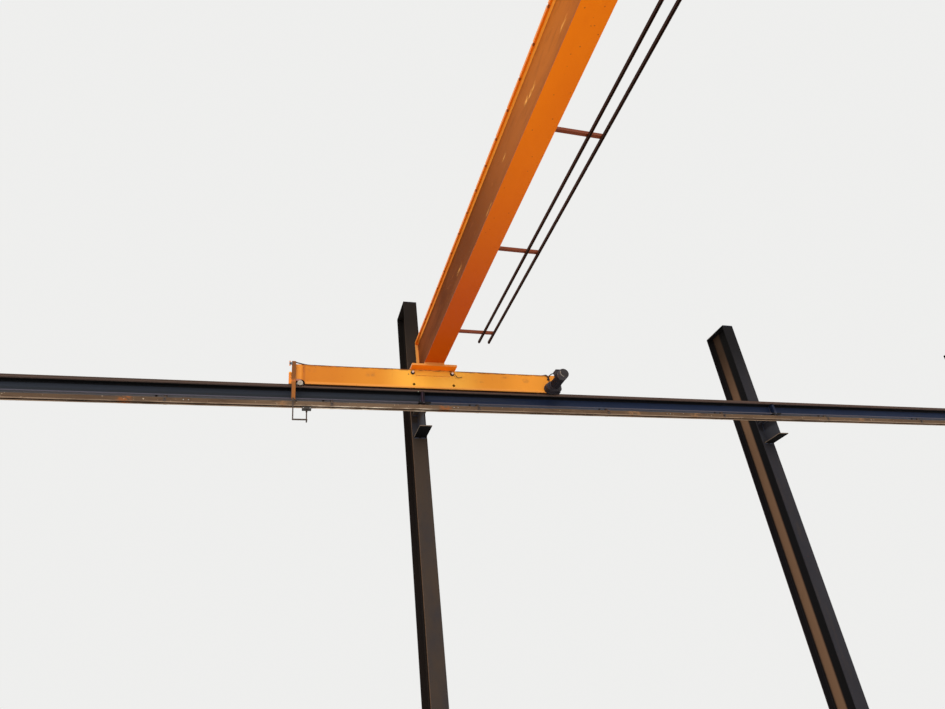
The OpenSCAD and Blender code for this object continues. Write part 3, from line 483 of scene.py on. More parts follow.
BOLT = steel("steel_bolt", (120, 112, 104), (62, 54, 50), 0.4, 0.8, 60.0, 0.4)
BOLT_DARK = steel("steel_bolt_dark", (46, 40, 40), (28, 24, 24), 0.5, 0.6, 60.0)
# near white steel: a painted highlight on the face bolts' stud ends
STUD_GLINT = steel("steel_stud_glint", (236, 226, 212), (196, 176, 150), 0.35, 0.35, 60.0)
WORN = steel("steel_worn", (190, 186, 180), (120, 112, 106), 0.3, 0.85, 40.0)
CAST = steel("cast_wheel", (92, 88, 84), (54, 50, 48), 0.5, 0.6, 30.0, 0.35)
ROLLER = steel("steel_roller", (214, 212, 208), (150, 142, 136), 0.32, 0.55, 50.0)
ROPE = steel("steel_rope", (128, 122, 112), (60, 54, 48), 0.45, 0.75, 90.0)
DARK_RAIL = look(
    "paint_cable_rail", (60, 32, 18), 0.7, 0.0, 0.15,
    ((48, 25, 13), 0.75, 0.7, cloud(0.42, 0.68, 1.2, 3, 0.5, (1, 0.3, 1))),
    ((110, 84, 62), 0.9, 0.8, by("nZ", 0.3, 0.8), cloud(0.2, 0.55, 3.0, 3)),
    bumps=((160.0, 2, 0.0003),))
# darkened as painted shade
ARM = crane_paint("paint_arm", (122, 54, 20), (98, 42, 17), (88, 54, 34), grime=0.5)
LIP = crane_paint("paint_lower_lip", (224, 146, 66), (206, 126, 52), (176, 108, 54), grime=0.4)
BRACKET = crane_paint("paint_bracket", (176, 118, 98), (146, 92, 74), (118, 78, 62), grime=0.4)
PALE = weld_look("paint_pale_mark", (150, 158, 140), (104, 104, 92))
# pale paint of the guide disc, also used for the painted highlight on the fan covers' rims
DISC_AND_GLINT = weld_look("paint_guide_disc_and_glint", (182, 168, 150), (138, 122, 106))
# near black: painted shade
SHADOW = weld_look("paint_dark_clip_shade", (16, 13, 15), (28, 22, 21))
RUBBER = rubber("rubber_buffer", (30, 29, 29), (74, 66, 58))
CABLE = rubber("cable_sheath", (26, 24, 24), (62, 54, 48))
PLASTIC = rubber("plastic_collector", (58, 54, 50), (92, 80, 68))
HOOK = look(
    "paint_hook_block", (222, 164, 40), 0.45, 0.0, 0.5,
    ((184, 128, 34), 0.6, 0.7, cloud(0.46, 0.7, 8.0, 5, 0.66)),
    ((92, 72, 52), 0.8, 0.85, cloud(0.6, 0.68, 15.0, 6, 0.75, None, 0.6)),
    bumps=((120.0, 3, 0.0006),))
HOIST = look(
    "paint_hoist", (86, 92, 98), 0.45, 0.0, 0.5,
    ((64, 68, 72), 0.6, 0.8, cloud(0.42, 0.7, 6.0, 5, 0.66)),
    ((134, 116, 96), 0.85, 0.75, by("nZ", 0.2, 0.9), cloud(0.25, 0.6, 12.0, 4)),
    ((118, 72, 50), 0.8, 0.6, cloud(0.66, 0.73, 40.0, 4)),
    bumps=((170.0, 3, 0.0007),))

ROW_LOOKS = {"corbels": COLUMN, "runway_beam": BEAM, "rail": RAIL, "end_stops": CRANE, "head_plate": HEAD,
             "end_carriage": CARRIAGE}
NODE_LOOKS = {
    "conductor_line": HOUSING, "conductor_hangers": HANGER, "girder_bottom_flange": GIRDER_UNDER,
    "girder_top_flange": GIRDER_TOPS, "girder_web_left": WEB_LEFT, "girder_web_right": WEB_RIGHT,
    "girder_end_plates": END_EDGE, "girder_edge_strip": STRIP, "collector_post": POST, "collector_arm": HANGER,
    "collector": PLASTIC, "cable_rails": DARK_RAIL, "cable_rail_arms": ARM, "trolley_frame": CRANE,
}
for row, _ in ROWS:
    NODE_LOOKS.update({"%s_%s" % (name, row): mat for name, mat in ROW_LOOKS.items()})
    NODE_LOOKS.update({"column_%s_%d" % (row, i + 1): COLUMN for i in range(len(COLUMNS))})
for name, mat in NODE_LOOKS.items():
    for held in frame["nodes"][name].material_slots:
        held.material = mat


# --- mesh helpers

def basis(axis):
    a = Vector(axis).normalized()
    u = a.cross(Z)
    if u.length < 0.1:
        u = a.cross(Y)
    u.normalize()
    return a, u, a.cross(u)


def spoke(u, w, g):
    return u * math.cos(g) + w * math.sin(g)


def arc(r, start, step, n):
    """n points on a circle, in degrees."""
    turns = [math.radians(start + step * i) for i in range(n)]
    return [(r * math.cos(g), r * math.sin(g)) for g in turns]


def smooth_path(points, steps=8):
    """Points along a smooth curve through the given points."""
    p = [Vector(q) for q in points]
    p = [p[0] * 2 - p[1]] + p + [p[-1] * 2 - p[-2]]
    out = []
    for i in range(1, len(p) - 2):
        for j in range(steps):
            t = j / steps
            out.append(0.5 * (2 * p[i] + (p[i + 1] - p[i - 1]) * t
                              + (2 * p[i - 1] - 5 * p[i] + 4 * p[i + 1] - p[i + 2]) * t * t
                              + (3 * p[i] - p[i - 1] - 3 * p[i + 1] + p[i + 2]) * t ** 3))
    return out + [p[-2]]


def between(first, second, n):
    """Faces between two closed rings of n vertices, which start at these numbers."""
    return [[first + i, first + (i + 1) % n, second + (i + 1) % n, second + i] for i in range(n)]


def outward(verts, faces, mid):
    """The faces, turned where they look towards the middle."""
    turned = []
    for f in faces:
        pts = [Vector(verts[i]) for i in f]
        normal = (pts[1] - pts[0]).cross(pts[2] - pts[0])
        turned.append(f if normal.dot(sum(pts, Vector()) / len(pts) - mid) > 0 else f[::-1])
    return turned


class Part:
    """Gathers shapes into one mesh object that rides on one body."""

    def __init__(self, name, body, slot, *nodes):
        self.name, self.body, self.slot, self.nodes = name, body, slot, nodes
        self.verts, self.faces, self.ids, self.soft, self.mats = [], [], [], [], []
        self.origin, self.side = Vector((0, 0, 0)), 1

    def at(self, x=0.0, y=0.0, z=0.0, side=1):
        """Where the next shapes' origin is; the far side mirrors them."""
        self.origin, self.side = Vector((x, y, z)), side
        return self

    def put(self, verts, faces, mat, soft=False):
        if mat not in self.mats:
            self.mats.append(mat)
        start = len(self.verts)
        for p in verts:
            q = Vector(p) + self.origin
            self.verts.append((q.x, q.y * self.side, q.z))
        for f in faces:
            self.faces.append([start + i for i in (f[::-1] if self.side < 0 else f)])
        self.ids += [self.mats.index(mat)] * len(faces)
        self.soft += [soft] * len(faces)

    def box(self, one, other, mat, c=0.002):
        """Box between two corners, with chamfered edges and corners."""
        lo, hi = (Vector(ends) for ends in zip(*(sorted(pair) for pair in zip(one, other))))
        c = min(c, min(b - a for a, b in zip(lo, hi)) * 0.45)
        verts, where = [], {}
        for s in product((0, 1), repeat=3):
            for a in range(3):
                p = [hi[i] - c if s[i] else lo[i] + c for i in range(3)]
                p[a] = hi[a] if s[a] else lo[a]
                where[s, a] = len(verts)
                verts.append(Vector(p))

        def corner(a, *ends):
            """The corner at these ends of the axes a, a + 1 and a + 2."""
            return tuple(ends[(i - a) % 3] for i in range(3))

        faces = []
        for a in range(3):
            b = (a + 1) % 3
            for s in (0, 1):
                faces.append([where[corner(a, s, t, w), a] for t, w in ((0, 0), (1, 0), (1, 1), (0, 1))])
            for s, t in product((0, 1), repeat=2):
                k0, k1 = corner(a, s, t, 0), corner(a, s, t, 1)
                faces.append([where[k0, a], where[k0, b], where[k1, b], where[k1, a]])
        faces += [[where[s, a] for a in range(3)] for s in product((0, 1), repeat=3)]
        self.put(verts, outward(verts, faces, (lo + hi) / 2), mat)

    def lathe(self, profile, axis, mat, seg=32, origin=(0, 0, 0)):
        """Turns a profile of (radius, distance along the axis) round the axis."""
        o = Vector(origin)
        a, u, w = basis(axis)
        verts, faces = [], []

        def ring(r, t):
            start = len(verts)
            if r < 1e-6:
                verts.append(o + a * t)
                return [start] * seg
            for i in range(seg):
                verts.append(o + a * t + spoke(u, w, 2 * math.pi * i / seg) * r)
            return list(range(start, start + seg))

        last, old = None, None
        for (r0, t0), (r1, t1) in zip(profile, profile[1:]):
            d = Vector((r1 - r0, t1 - t0))
            if d.length < 1e-9:
                continue
            smooth = old is not None and old.angle(d) < math.radians(38)
            a0 = last if smooth else ring(r0, t0)
            a1 = ring(r1, t1)
            for j in range(seg):
                n = (j + 1) % seg
                f = [a0[j], a0[n], a1[n], a1[j]]
                f = [f[q] for q in range(4) if f[q] != f[q - 1]]
                if len(f) > 2:
                    faces.append(f)
            last, old = a1, d
        self.put(verts, faces, mat, True)

    def rod(self, p0, p1, r, mat, seg=16, c=0.002):
        p0, p1 = Vector(p0), Vector(p1)
        n = (p1 - p0).length
        c = min(c, r * 0.4, n * 0.4)
        self.lathe([(0, 0), (r - c, 0), (r, c), (r, n - c), (r - c, n), (0, n)], p1 - p0, mat, seg, p0)

    def disc(self, p, axis, r, t, mat, seg=28, c=0.001):
        self.lathe([(0, 0), (r - c, 0), (r, c), (r, t - c), (r - c, t), (0, t), (0, 0)], axis, mat, seg, p)

    def hexagon(self, p, axis, across, h, mat, spin=0.0):
        o = Vector(p)
        a, u, w = basis(axis)
        big = across / math.sqrt(3)
        verts = [o + a * t + spoke(u, w, spin + math.pi / 3 * i) * r
                 for r, t in ((big, 0.0), (big, h * 0.86), (big * 0.87, h)) for i in range(6)]
        caps = [[12, 13, 14, 15, 16, 17], [5, 4, 3, 2, 1, 0]]
        self.put(verts, between(0, 6, 6) + between(6, 12, 6) + caps, mat)

    def bolt(self, p, axis, d, mat=BOLT, stud=0.0, washer=None):
        """Hexagon head or nut on a washer; stud is how far the thread stands out."""
        a = Vector(axis).normalized()
        o = Vector(p)
        self.disc(o, a, d * 1.05, d * 0.15, washer or mat, 20)
        self.hexagon(o + a * d * 0.15, a, d * 1.6, d * 0.65, mat, random.random() * 3)
        if stud:
            self.rod(o + a * d * 0.75, o + a * (d * 0.8 + stud), d * 0.47, mat, 12)

    def tube(self, points, r, mat, seg=10):
        p = [Vector(q) for q in points]
        _, u, _ = basis((p[1] - p[0]).normalized())
        verts, faces = [], []
        for i, q in enumerate(p):
            t = (p[min(i + 1, len(p) - 1)] - p[max(i - 1, 0)]).normalized()
            u = (u - t * u.dot(t)).normalized()
            w = t.cross(u)
            verts += [q + spoke(u, w, 2 * math.pi * j / seg) * r for j in range(seg)]
            if i:
                faces += between((i - 1) * seg, i * seg, seg)
        end = len(verts) - seg
        self.put(verts, faces + [list(range(seg))[::-1], list(range(end, end + seg))], mat, True)

    def bead(self, at, n1, n2, size, mat, pitch=0.012):
        """Fillet weld with ripples in the corner between two faces.

        The coordinate along which it runs is given as a pair, its start and its end.
        """
        p0, p1 = (Vector([v[i] if isinstance(v, tuple) else v for v in at]) for i in (0, 1))
        steps = max(2, int((p1 - p0).length / pitch))
        verts, faces = [], []
        for i in range(steps + 1):
            p = p0.lerp(p1, i / steps)
            s = size * (1.0 + (0.14 if i % 2 else -0.1) + random.uniform(-0.08, 0.08))
            if i in (0, steps):
                s *= 0.4
            verts += [p + n1 * s, p + (n1 * 0.62 + n2 * 0.62) * s, p + n2 * s]
        flip = (p1 - p0).cross(n2 - n1).dot(n1 + n2) > 0
        for i, j in product(range(steps), (0, 1)):
            f = [3 * i + j, 3 * i + j + 1, 3 * i + j + 4, 3 * i + j + 3]
            faces.append(f if flip else f[::-1])
        self.put(verts, faces, mat, True)

    def hollow(self, corner, n1, n2, r, along, mat):
        """Rolled root radius along a corner."""
        c, steps = Vector(corner), 5
        verts, faces = [], []
        for i in range(steps + 1):
            g = math.pi / 2 * i / steps
            p = c + n1 * r * (1 - math.sin(g)) + n2 * r * (1 - math.cos(g))
            verts += [p, p + along]
        flip = along.cross(n2 - n1).dot(n1 + n2) > 0
        for i in range(0, 2 * steps, 2):
            f = [i, i + 2, i + 3, i + 1]
            faces.append(f if flip else f[::-1])
        self.put(verts, faces, mat, True)

    def slab(self, outline, y0, y1, mat, c):
        """Extrudes a convex outline of (x, z) along Y, with chamfered rims."""
        low, high = sorted((y0, y1))
        n = len(outline)
        cx, cz = (sum(v) / n for v in zip(*outline))
        inset = 1 - c / max(math.hypot(x - cx, z - cz) for x, z in outline)
        verts = []
        for y, q in ((low, inset), (low + c, 1.0), (high - c, 1.0), (high, inset)):
            verts += [(cx + (x - cx) * q, y, cz + (z - cz) * q) for x, z in outline]
        faces = between(0, n, n) + between(n, 2 * n, n) + between(2 * n, 3 * n, n)
        faces += [list(range(n))[::-1], list(range(3 * n, 4 * n))]
        self.put(verts, outward(verts, faces, Vector((cx, (low + high) / 2, cz))), mat)

    def fins(self, count, ends, inner, outer, mat):
        """Cooling fins round the Y axis; inner and outer are (radius, half thickness)."""
        sides = [[0, 1, 3, 2], [5, 4, 6, 7], [0, 2, 6, 4], [3, 1, 5, 7], [2, 3, 7, 6]]
        for c, s in arc(1, 0, 360 / count, count):
            self.put([(c * r - s * w * k, y, s * r + c * w * k)
                      for y, (r, w), k in product(ends, (inner, outer), BOTH)], sides, mat)

    def make(self):
        me = bpy.data.meshes.new(self.name)
        me.from_pydata(self.verts, [], self.faces)
        for m in self.mats:
            me.materials.append(m)
        me.polygons.foreach_set("material_index", self.ids)
        me.polygons.foreach_set("use_smooth", self.soft)
        me.update()
        ob = bpy.data.objects.new(self.name, me)
        scene.collection.objects.link(ob)
        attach(ob, self.body)
        if self.nodes:
            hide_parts(*self.nodes)


# --- runway

for row, side in ROWS:
    p = Part("column_fittings_" + row, "runway", "column_paint")
    half, edge, foot, cap = COL_D / 2, COL_W / 2, 0.025, 7.985
    inner = half - 0.017             # where its flanges' inner faces are
    for cx in COLUMNS:
        p.at(cx, COL_FACE + half, 0, side)
        for sx in BOTH:
            web = sx * 0.0055
            for sy in BOTH:
                p.hollow((web, sy * inner, foot), X * sx, Y * -sy, 0.021, Z * (cap - foot), COLUMN)
                p.bolt((sx * 0.17, sy * 0.27, foot), Z, 0.024, BOLT, 0.018)
                p.bead(((sx * edge, sx * 0.008), sy * half, foot), Y * sy, Z, 0.009, WELD_BLUE)
                p.bead(((sx * edge, sx * 0.03), sy * inner, foot), Y * -sy, Z, 0.008, WELD_BLUE)
            p.bead((web, (0.03 - inner, inner - 0.03), foot), X * sx, Z, 0.008, WELD_BLUE)
            p.bead(((sx * edge, sx * 0.008), -half, cap), -Y, -Z, 0.006, WELD_BLUE)
    p.make()

    p = Part("corbel_fittings_" + row, "runway", "column_paint")
    top, low = BEAM_LOW - 0.014, BEAM_LOW - 0.35
    for cx in COLUMNS:
        p.at(cx, 0, 0, side)
        for sx in BOTH:
            web = sx * 0.005
            for z, n in ((top, -Z), (low, Z)):
                p.bead((web, (7.96, COL_FACE), z), X * sx, n, 0.007, WELD_BLUE)
            p.bead((web, COL_FACE, (low + 0.006, top - 0.006)), X * sx, -Y, 0.008, WELD_BLUE)
            for z in (low - 0.014, top):
                p.bead(((sx * 0.012, sx * 0.084), COL_FACE, z), -Y, -Z, 0.009, WELD_BLUE)
            p.bolt((sx * 0.045, 8.05, top), -Z, 0.02, BOLT_DARK, 0.012)
            p.bolt((sx * 0.045, 8.05, BEAM_LOW + 0.015), Z, 0.02, BOLT_DARK)
            # lugs under the beam's inner flange edge that clamp it to the corbel
            p.box((sx * 0.062 - 0.02, 7.945, top + 0.002), (sx * 0.062 + 0.02, 7.985, BEAM_LOW - 0.0005), BOLT_DARK)
            if abs(cx) < 4:
                # clips round the flange's edge beside the joint, near black as painted shade
                far = 0.1 if sx > 0 else -0.08
                p.box((sx * 0.012, 7.896, BEAM_LOW - 0.006), (far, 7.935, BEAM_LOW + 0.0165), SHADOW, 0.001)
    p.make()

    p = Part("beam_fittings_" + row, "runway", "beam_paint").at(0, RAIL_Y, 0, side)
    for x0, x1 in ((-9.1, -3.003), (-2.997, 2.997), (3.003, 9.1)):
        for sy in BOTH:
            web = sy * 0.0045
            for z, n in ((BEAM_LOW + 0.015, Z), (BEAM_TOP - 0.015, -Z)):
                p.hollow((x0 + 0.016, web, z), Y * sy, n, 0.018, X * (x1 - x0 - 0.032), BEAM)
            for x, d in ((x0 + 0.014, 1), (x1 - 0.014, -1)):
                p.bead((x, web, (BEAM_LOW + 0.03, BEAM_TOP - 0.03)), X * d, Y * sy, 0.006, WELD_BLUE)
    p.box((-3.076, -0.104, BEAM_TOP - 0.031), (-3.064, -0.0995, BEAM_TOP - 0.016), PALE, 0.001)
    for i, sy in product(range(58), BOTH):
        x = -8.86 + 0.31 * i
        p.bead(((x, x + 0.07), sy * 0.03, BEAM_TOP), Y * sy, Z, 0.008, WELD_BLUE)
    p.make()

    p = Part("end_stop_fittings_" + row, "runway", "crane_paint").at(0, RAIL_Y, 0, side)
    for d in BOTH:
        x = d * 8.905
        for y, s in product((-0.0667, 0.0667), BOTH):
            y += s * 0.006
            p.bead(((x + d * 0.016, x + d * 0.19), y, BEAM_TOP), Y * s, Z, 0.007, WELD)
            p.bead((x + d * 0.015, y, (BEAM_TOP, BEAM_TOP + 0.29)), Y * s, X * d, 0.007, WELD)
        for run in ((-0.098, -0.032), (0.032, 0.098)):
            p.bead((x, run, BEAM_TOP), X * -d, Z, 0.008, WELD)
    p.make()

# Conductor line: sleeves at the joints, end caps, hanger bolts
p = Part("conductor_fittings", "runway", "housing_metal")
y0, y1, t = HOUSE_Y - 0.045, HOUSE_Y + 0.045, 0.003
for x in (-6.1, -2.55, 0.9, 4.95):
    for ya, yb, za, zb in ((y0 - t, y0, HOUSE_LOW + 0.002, HOUSE_TOP), (y1, y1 + t, HOUSE_LOW + 0.002, HOUSE_TOP),
                           (y0 - t, y1 + t, HOUSE_TOP, HOUSE_TOP + t)):
        p.box((x - 0.05, ya, za), (x + 0.05, yb, zb), HOUSING, 0.001)
    for dx in (-0.03, 0.03):
        p.bolt((x + dx, y0 - t, HOUSE_LOW + 0.03), -Y, 0.006, WORN)
for d in BOTH:
    p.box((d * 8.95, HOUSE_Y - 0.041, HOUSE_LOW + 0.004), (d * (8.95 - t), HOUSE_Y + 0.041, HOUSE_TOP - 0.004),
          HOUSING, 0.001)
for i in range(-4, 5):
    x = -0.14 + 2.07 * i
    for s in BOTH:
        p.bolt((x, HOUSE_Y + s * 0.0493, HOUSE_LOW + 0.035), Y * s, 0.008, BOLT_DARK)
    for y, n in ((7.905, -Y), (7.935, Y)):
        p.bead(((x - 0.02, x + 0.02), y, HOUSE_TOP + 0.0043), n, Z, 0.004, HANGER)
    for dx in (-0.11, 0.0):
        p.bolt((x + dx, 7.93, BEAM_LOW), -Z, 0.017, BOLT_DARK)
p.make()

# --- girder

p = Part("girder_welds", "bridge", "crane_paint").at(BX)
end = 8.217                      # inner faces of the end plates
for s in BOTH:
    foot_weld = WELD_DARK if s < 0 else WELD
    p.bead((s * WEB_X, (-end, end), GIRDER_FOOT), X * s, Z, 0.007, foot_weld, 0.016)
    p.bead((s * WEB_X, (-end, end), GIRDER_CEIL), X * s, -Z, 0.007, WELD, 0.016)
    for d in (1, -1):
        p.bead((s * WEB_X, d * (end + 0.001), (GIRDER + 0.02, GIRDER_TOP - 0.02)), X * s, Y * -d, 0.006, WELD)
p.make()

# The light bar in the corner between the left web and the top flange; its light colour is a painted highlight
p = Part("girder_corner_bar", "bridge", "crane_paint").at(BX)
corner = [(-WEB_X, GIRDER_CEIL), (-0.121, GIRDER_CEIL), (-WEB_X, GIRDER_TOP - 0.024)]
p.put([(x, y, z) for y in (-end, end) for x, z in corner],
      [(0, 1, 2), (5, 4, 3), (1, 4, 5, 2), (0, 3, 4, 1), (2, 5, 3, 0)], CORNER)
p.make()

for row, side in ROWS:
    p = Part("saddle_fittings_" + row, "bridge", "crane_paint").at(BX, 0, 0, side)
    for s in BOTH:
        p.bead((s * FLANGE_X, (7.746, 8.171), SEAT), X * s, Z, 0.007, WELD)
        p.bead((s * WEB_X, (7.9, 8.12), GIRDER_FOOT), X * s, Z, 0.004, WELD)
        for y in (7.80, 8.0, 8.145):
            p.bolt((s * 0.225, y, SEAT), Z, 0.022, BOLT, 0.014)
    for y, n in ((CAR_FACE, -Y), (CAR_BACK, Y)):
        p.bead(((-0.325, 0.325), y, CAR_TOP), n, -Z, 0.007, WELD)
    p.make()

# --- end carriages

for row, side in ROWS:
    p = Part("carriage_fittings_" + row, "bridge", "crane_paint").at(BX, 0, 0, side)
    # doubler plate between the face bolts: its lower edge is the fine line below them
    p.box((-0.262, CAR_FACE - 0.0025, CAR_TOP - 0.094), (0.25, CAR_FACE, CAR_TOP - 0.009), CARRIAGE, 0.001)
    p.bead(((-0.262, 0.25), CAR_FACE, CAR_TOP - 0.0945), -Y, -Z, 0.004, WELD)
    z = CAR_TOP - 0.054
    # face bolts: a light ring, a dark nut, and a stud end near white as a painted highlight
    for x in (-0.301, 0.283):
        p.disc((x, CAR_FACE, z), -Y, 0.037, 0.003, EDGE_LINE)
        p.disc((x, CAR_FACE - 0.003, z), -Y, 0.0305, 0.005, BOLT_DARK)
        p.hexagon((x, CAR_FACE - 0.008, z), -Y, 0.041, 0.018, BOLT_DARK, 0.4)
        p.rod((x, CAR_FACE - 0.02, z), (x, CAR_FACE - 0.037, z), 0.0165, STUD_GLINT)
    for x in (-0.2925, 0.2925):
        p.bolt((x, CAR_BACK, CAR_TOP - 0.045), Y, 0.026, BOLT, 0.014)
    # bent end of binding wire below the right bolt, as (x, out of the face, below the top)
    wire = ((0.315, 0.012, 0.058), (0.335, 0.02, 0.083), (0.352, 0.014, 0.106), (0.385, 0.012, 0.112),
            (0.43, 0.016, 0.098))
    p.tube(smooth_path([(x, CAR_FACE - out, CAR_TOP - down) for x, out, down in wire], 6), 0.0042, BOLT_DARK, 8)
    # small plug left of the left bolt
    z = CAR_TOP - 0.08
    p.rod((-0.365, CAR_FACE, z), (-0.365, CAR_FACE - 0.003, z), 0.008, BOLT_DARK, 12, 0.0005)
    for d in BOTH:
        # welded seam of the thicker end length, and its edge
        for y, n in ((CAR_FACE, -Y), (CAR_BACK, Y)):
            p.bead((d * 1.82, y, (CAR_LOW + 0.175, CAR_TOP - 0.004)), X * d, n, 0.004, WELD_DARK)
            p.bead((d * 1.921, y, (CAR_LOW + 0.12, CAR_TOP - 0.002)), X * -d, n, 0.003, WELD)
        for y in (7.905, 8.095):
            p.bolt((d * CAR_END, y, CAR_TOP - 0.06), X * d, 0.016)
        # buffer plate
        plate = d * (CAR_END + 0.008)
        p.box((d * CAR_END, 7.935, RAIL_TOP + 0.095), (plate, 8.065, RAIL_TOP + 0.225), CARRIAGE)
        for y, z in product((7.95, 8.05), (RAIL_TOP + 0.11, RAIL_TOP + 0.21)):
            p.bolt((plate, y, z), X * d, 0.01)
    # lower lips of the side plates
    for y, out, mat in ((CAR_FACE, -0.003, LIP), (CAR_BACK, 0.003, CARRIAGE)):
        p.box((-1.79, y, CAR_LOW), (1.79, y + out, CAR_LOW + 0.014), mat, 0.001)
    p.make()

    p = Part("wheel_set_" + row, "bridge", "wheel_steel", "wheels_" + row)
    r, h = 0.08, 0.04
    tread = [(0.034, h - 0.002), (0.036, h), (0.05, h), (0.052, h - 0.004), (0.054, h - 0.013), (0.064, h - 0.013),
             (0.067, h - 0.009), (0.069, h), (0.077, h), (r, h - 0.004), (r, 0)]
    axle = [(0.025, 0), (0.033, 0.04), (0.033, 0.056), (0.031, 0.058), (0.025, 0.058), (0.025, 0.117),
            (0.0249, 0.1245), (0.0, 0.1245)]
    for d in BOTH:
        p.at(BX + d * 1.77, RAIL_Y, RAIL_TOP + 0.0803, side)
        for s in BOTH:
            p.lathe(tread, Y * s, CAST, 40)
            p.lathe(axle, Y * s, WORN, 28)
            p.disc((0, s * 0.1246, 0), Y * s, 0.0275, 0.0012, CARRIAGE, 28, 0.0005)
            for x, z in arc(0.043, 0, 60, 6):
                p.hexagon((x, s * h, z), Y * s, 0.009, 0.005, BOLT)
    p.make()

p = Part("guide_roller_set", "bridge", "bright_steel", "guide_rollers")
roller = [(0.014, 0.0), (0.03, 0.0), (0.034, 0.003), (0.04, 0.003), (0.044, 0.006), (0.044, 0.028), (0.04, 0.034),
          (0.03, 0.034), (0.014, 0.034)]
for side, x, y in product((1, -1), (-1.863, 1.863), (-0.075, 0.075)):
    p.at(BX + x, RAIL_Y + y, RAIL_TOP - 0.036, side)
    p.lathe(roller, Z, ROLLER, 36)
    p.rod((0, 0, 0.001), (0, 0, 0.288), 0.012, WORN, 20)
    p.disc((0, 0, 0.034), Z, 0.022, 0.006, BOLT, 20)
    p.hexagon((0, 0, 0.04), Z, 0.03, 0.014, BOLT)
    p.hexagon((0, 0, 0.262), Z, 0.034, 0.016, BOLT)
p.make()

p = Part("buffer_set", "bridge", "rubber_black", "buffers")
rubber_rings = [(0.038, 0.0), (0.04, 0.002), (0.04, 0.01), (0.036, 0.014)]
for z in (0.016, 0.03, 0.044):
    rubber_rings += [(0.0385, z), (0.0395, z + 0.004), (0.0385, z + 0.008), (0.0355, z + 0.011)]
rubber_rings += [(0.037, 0.06), (0.036, 0.067), (0.032, 0.074), (0.024, 0.078), (0.012, 0.0795), (0.0, 0.08)]
for side, d in product((1, -1), BOTH):
    p.at(BX + d * CAR_END, RAIL_Y, RAIL_TOP + 0.16, side)
    p.lathe(rubber_rings, X * d, RUBBER, 36)
p.make()

# --- drives, round the motor's axis

AXIS_Z = RAIL_TOP + 0.02
p = Part("gear_case_set", "bridge", "motor_paint", "gear_cases")
left, right, h = 1.70, 1.95, 0.09
case = [(right - 0.03, -h), (right - 0.008, -h + 0.02), (right, -h + 0.05), (right, h - 0.06),
        (right - 0.012, h - 0.03), (right - 0.035, h - 0.008), (right - 0.06, h)]
case += [(left + h + x, z) for x, z in arc(h, 90, 15, 13)]
for side in (1, -1):
    p.at(BX, CAR_FACE, AXIS_Z, side)
    p.slab(case, -0.045, 0, CASE, 0.006)
    p.slab([(1.825 + (x - 1.825) * 0.93, z * 0.9) for x, z in case], -0.12, -0.043, CASE, 0.012)
    for x, z in ((1.725, 0.05), (1.725, -0.05), (1.79, 0.078), (1.79, -0.078), (1.87, -0.078), (1.925, -0.055),
                 (1.935, 0.0), (1.9, 0.06)):
        p.bolt((x, -0.045, z), -Y, 0.009, BOLT_DARK)
    # lighter ledge below the motor flange, an oil plug, ribs
    p.box((1.74, -0.1195, 0.002), (1.925, -0.112, 0.014), LEDGE)
    p.disc((1.77, -0.12, -0.045), -Y, 0.012, 0.0005, BOLT_DARK, 16, 0.0002)
    for z in (-0.055, -0.03, 0.03, 0.05):
        p.box((left + 0.035, -0.112, z), (left + 0.075, -0.05, z + 0.006), CASE)
p.make()

p = Part("drive_motor_set", "bridge", "motor_paint", "drive_motors")
body = [(0.0, 0.0), (0.073, 0.0), (0.075, 0.002), (0.075, 0.014), (0.073, 0.016), (0.064, 0.018), (0.062, 0.03),
        (0.062, 0.29), (0.066, 0.293), (0.066, 0.302), (0.06, 0.305), (0.0, 0.305)]
cover = [(0.07, 0.3), (0.077, 0.302), (0.078, 0.306), (0.078, 0.372), (0.075, 0.382), (0.068, 0.388), (0.06, 0.39),
         (0.0, 0.39)]
for side in (1, -1):
    p.at(BX + 1.82, CAR_FACE - 0.12, AXIS_Z, side)
    # flange, body, end shield
    p.lathe(body, -Y, MOTOR, 48)
    p.fins(36, (-0.034, -0.286), (0.058, 0.0016 * 1.4), (0.0745, 0.0016), MOTOR)
    # fan cover with slots, and a painted highlight along its rim on the left
    p.lathe(cover, -Y, FAN, 48)
    grille = (0, -0.3895, 0)
    p.disc(grille, -Y, 0.056, 0.0004, BOLT_DARK, 40, 0.0001)
    for r in (0.012, 0.026, 0.04):
        p.lathe([(r, 0.0), (r + 0.004, 0.0), (r + 0.004, 0.0004), (r, 0.0004)], -Y, FAN, 40, grille)
    p.tube([(x, -0.3886, z) for x, z in arc(0.06, 148, 8, 15)], 0.0034, DISC_AND_GLINT, 6)
    for x, z in arc(0.0665, 45, 90, 4):
        p.bolt((x, -0.016, z), -Y, 0.006)
    # terminal box with its lid and screws, beside the fan cover
    p.box((-0.072, -0.287, 0.038), (0.042, -0.188, 0.102), MOTOR, 0.005)
    p.box((-0.075, -0.29, 0.1), (0.045, -0.185, 0.1165), MOTOR, 0.004)
    for x, y in product((-0.065, 0.035), (-0.281, -0.194)):
        p.rod((x, y, 0.115), (x, y, 0.117), 0.004, BOLT, 12, 0.0005)
p.make()

# --- current collector

p = Part("collector_fittings", "bridge", "hanger_metal").at(BX)
px, py = -1.952, 7.84            # the post
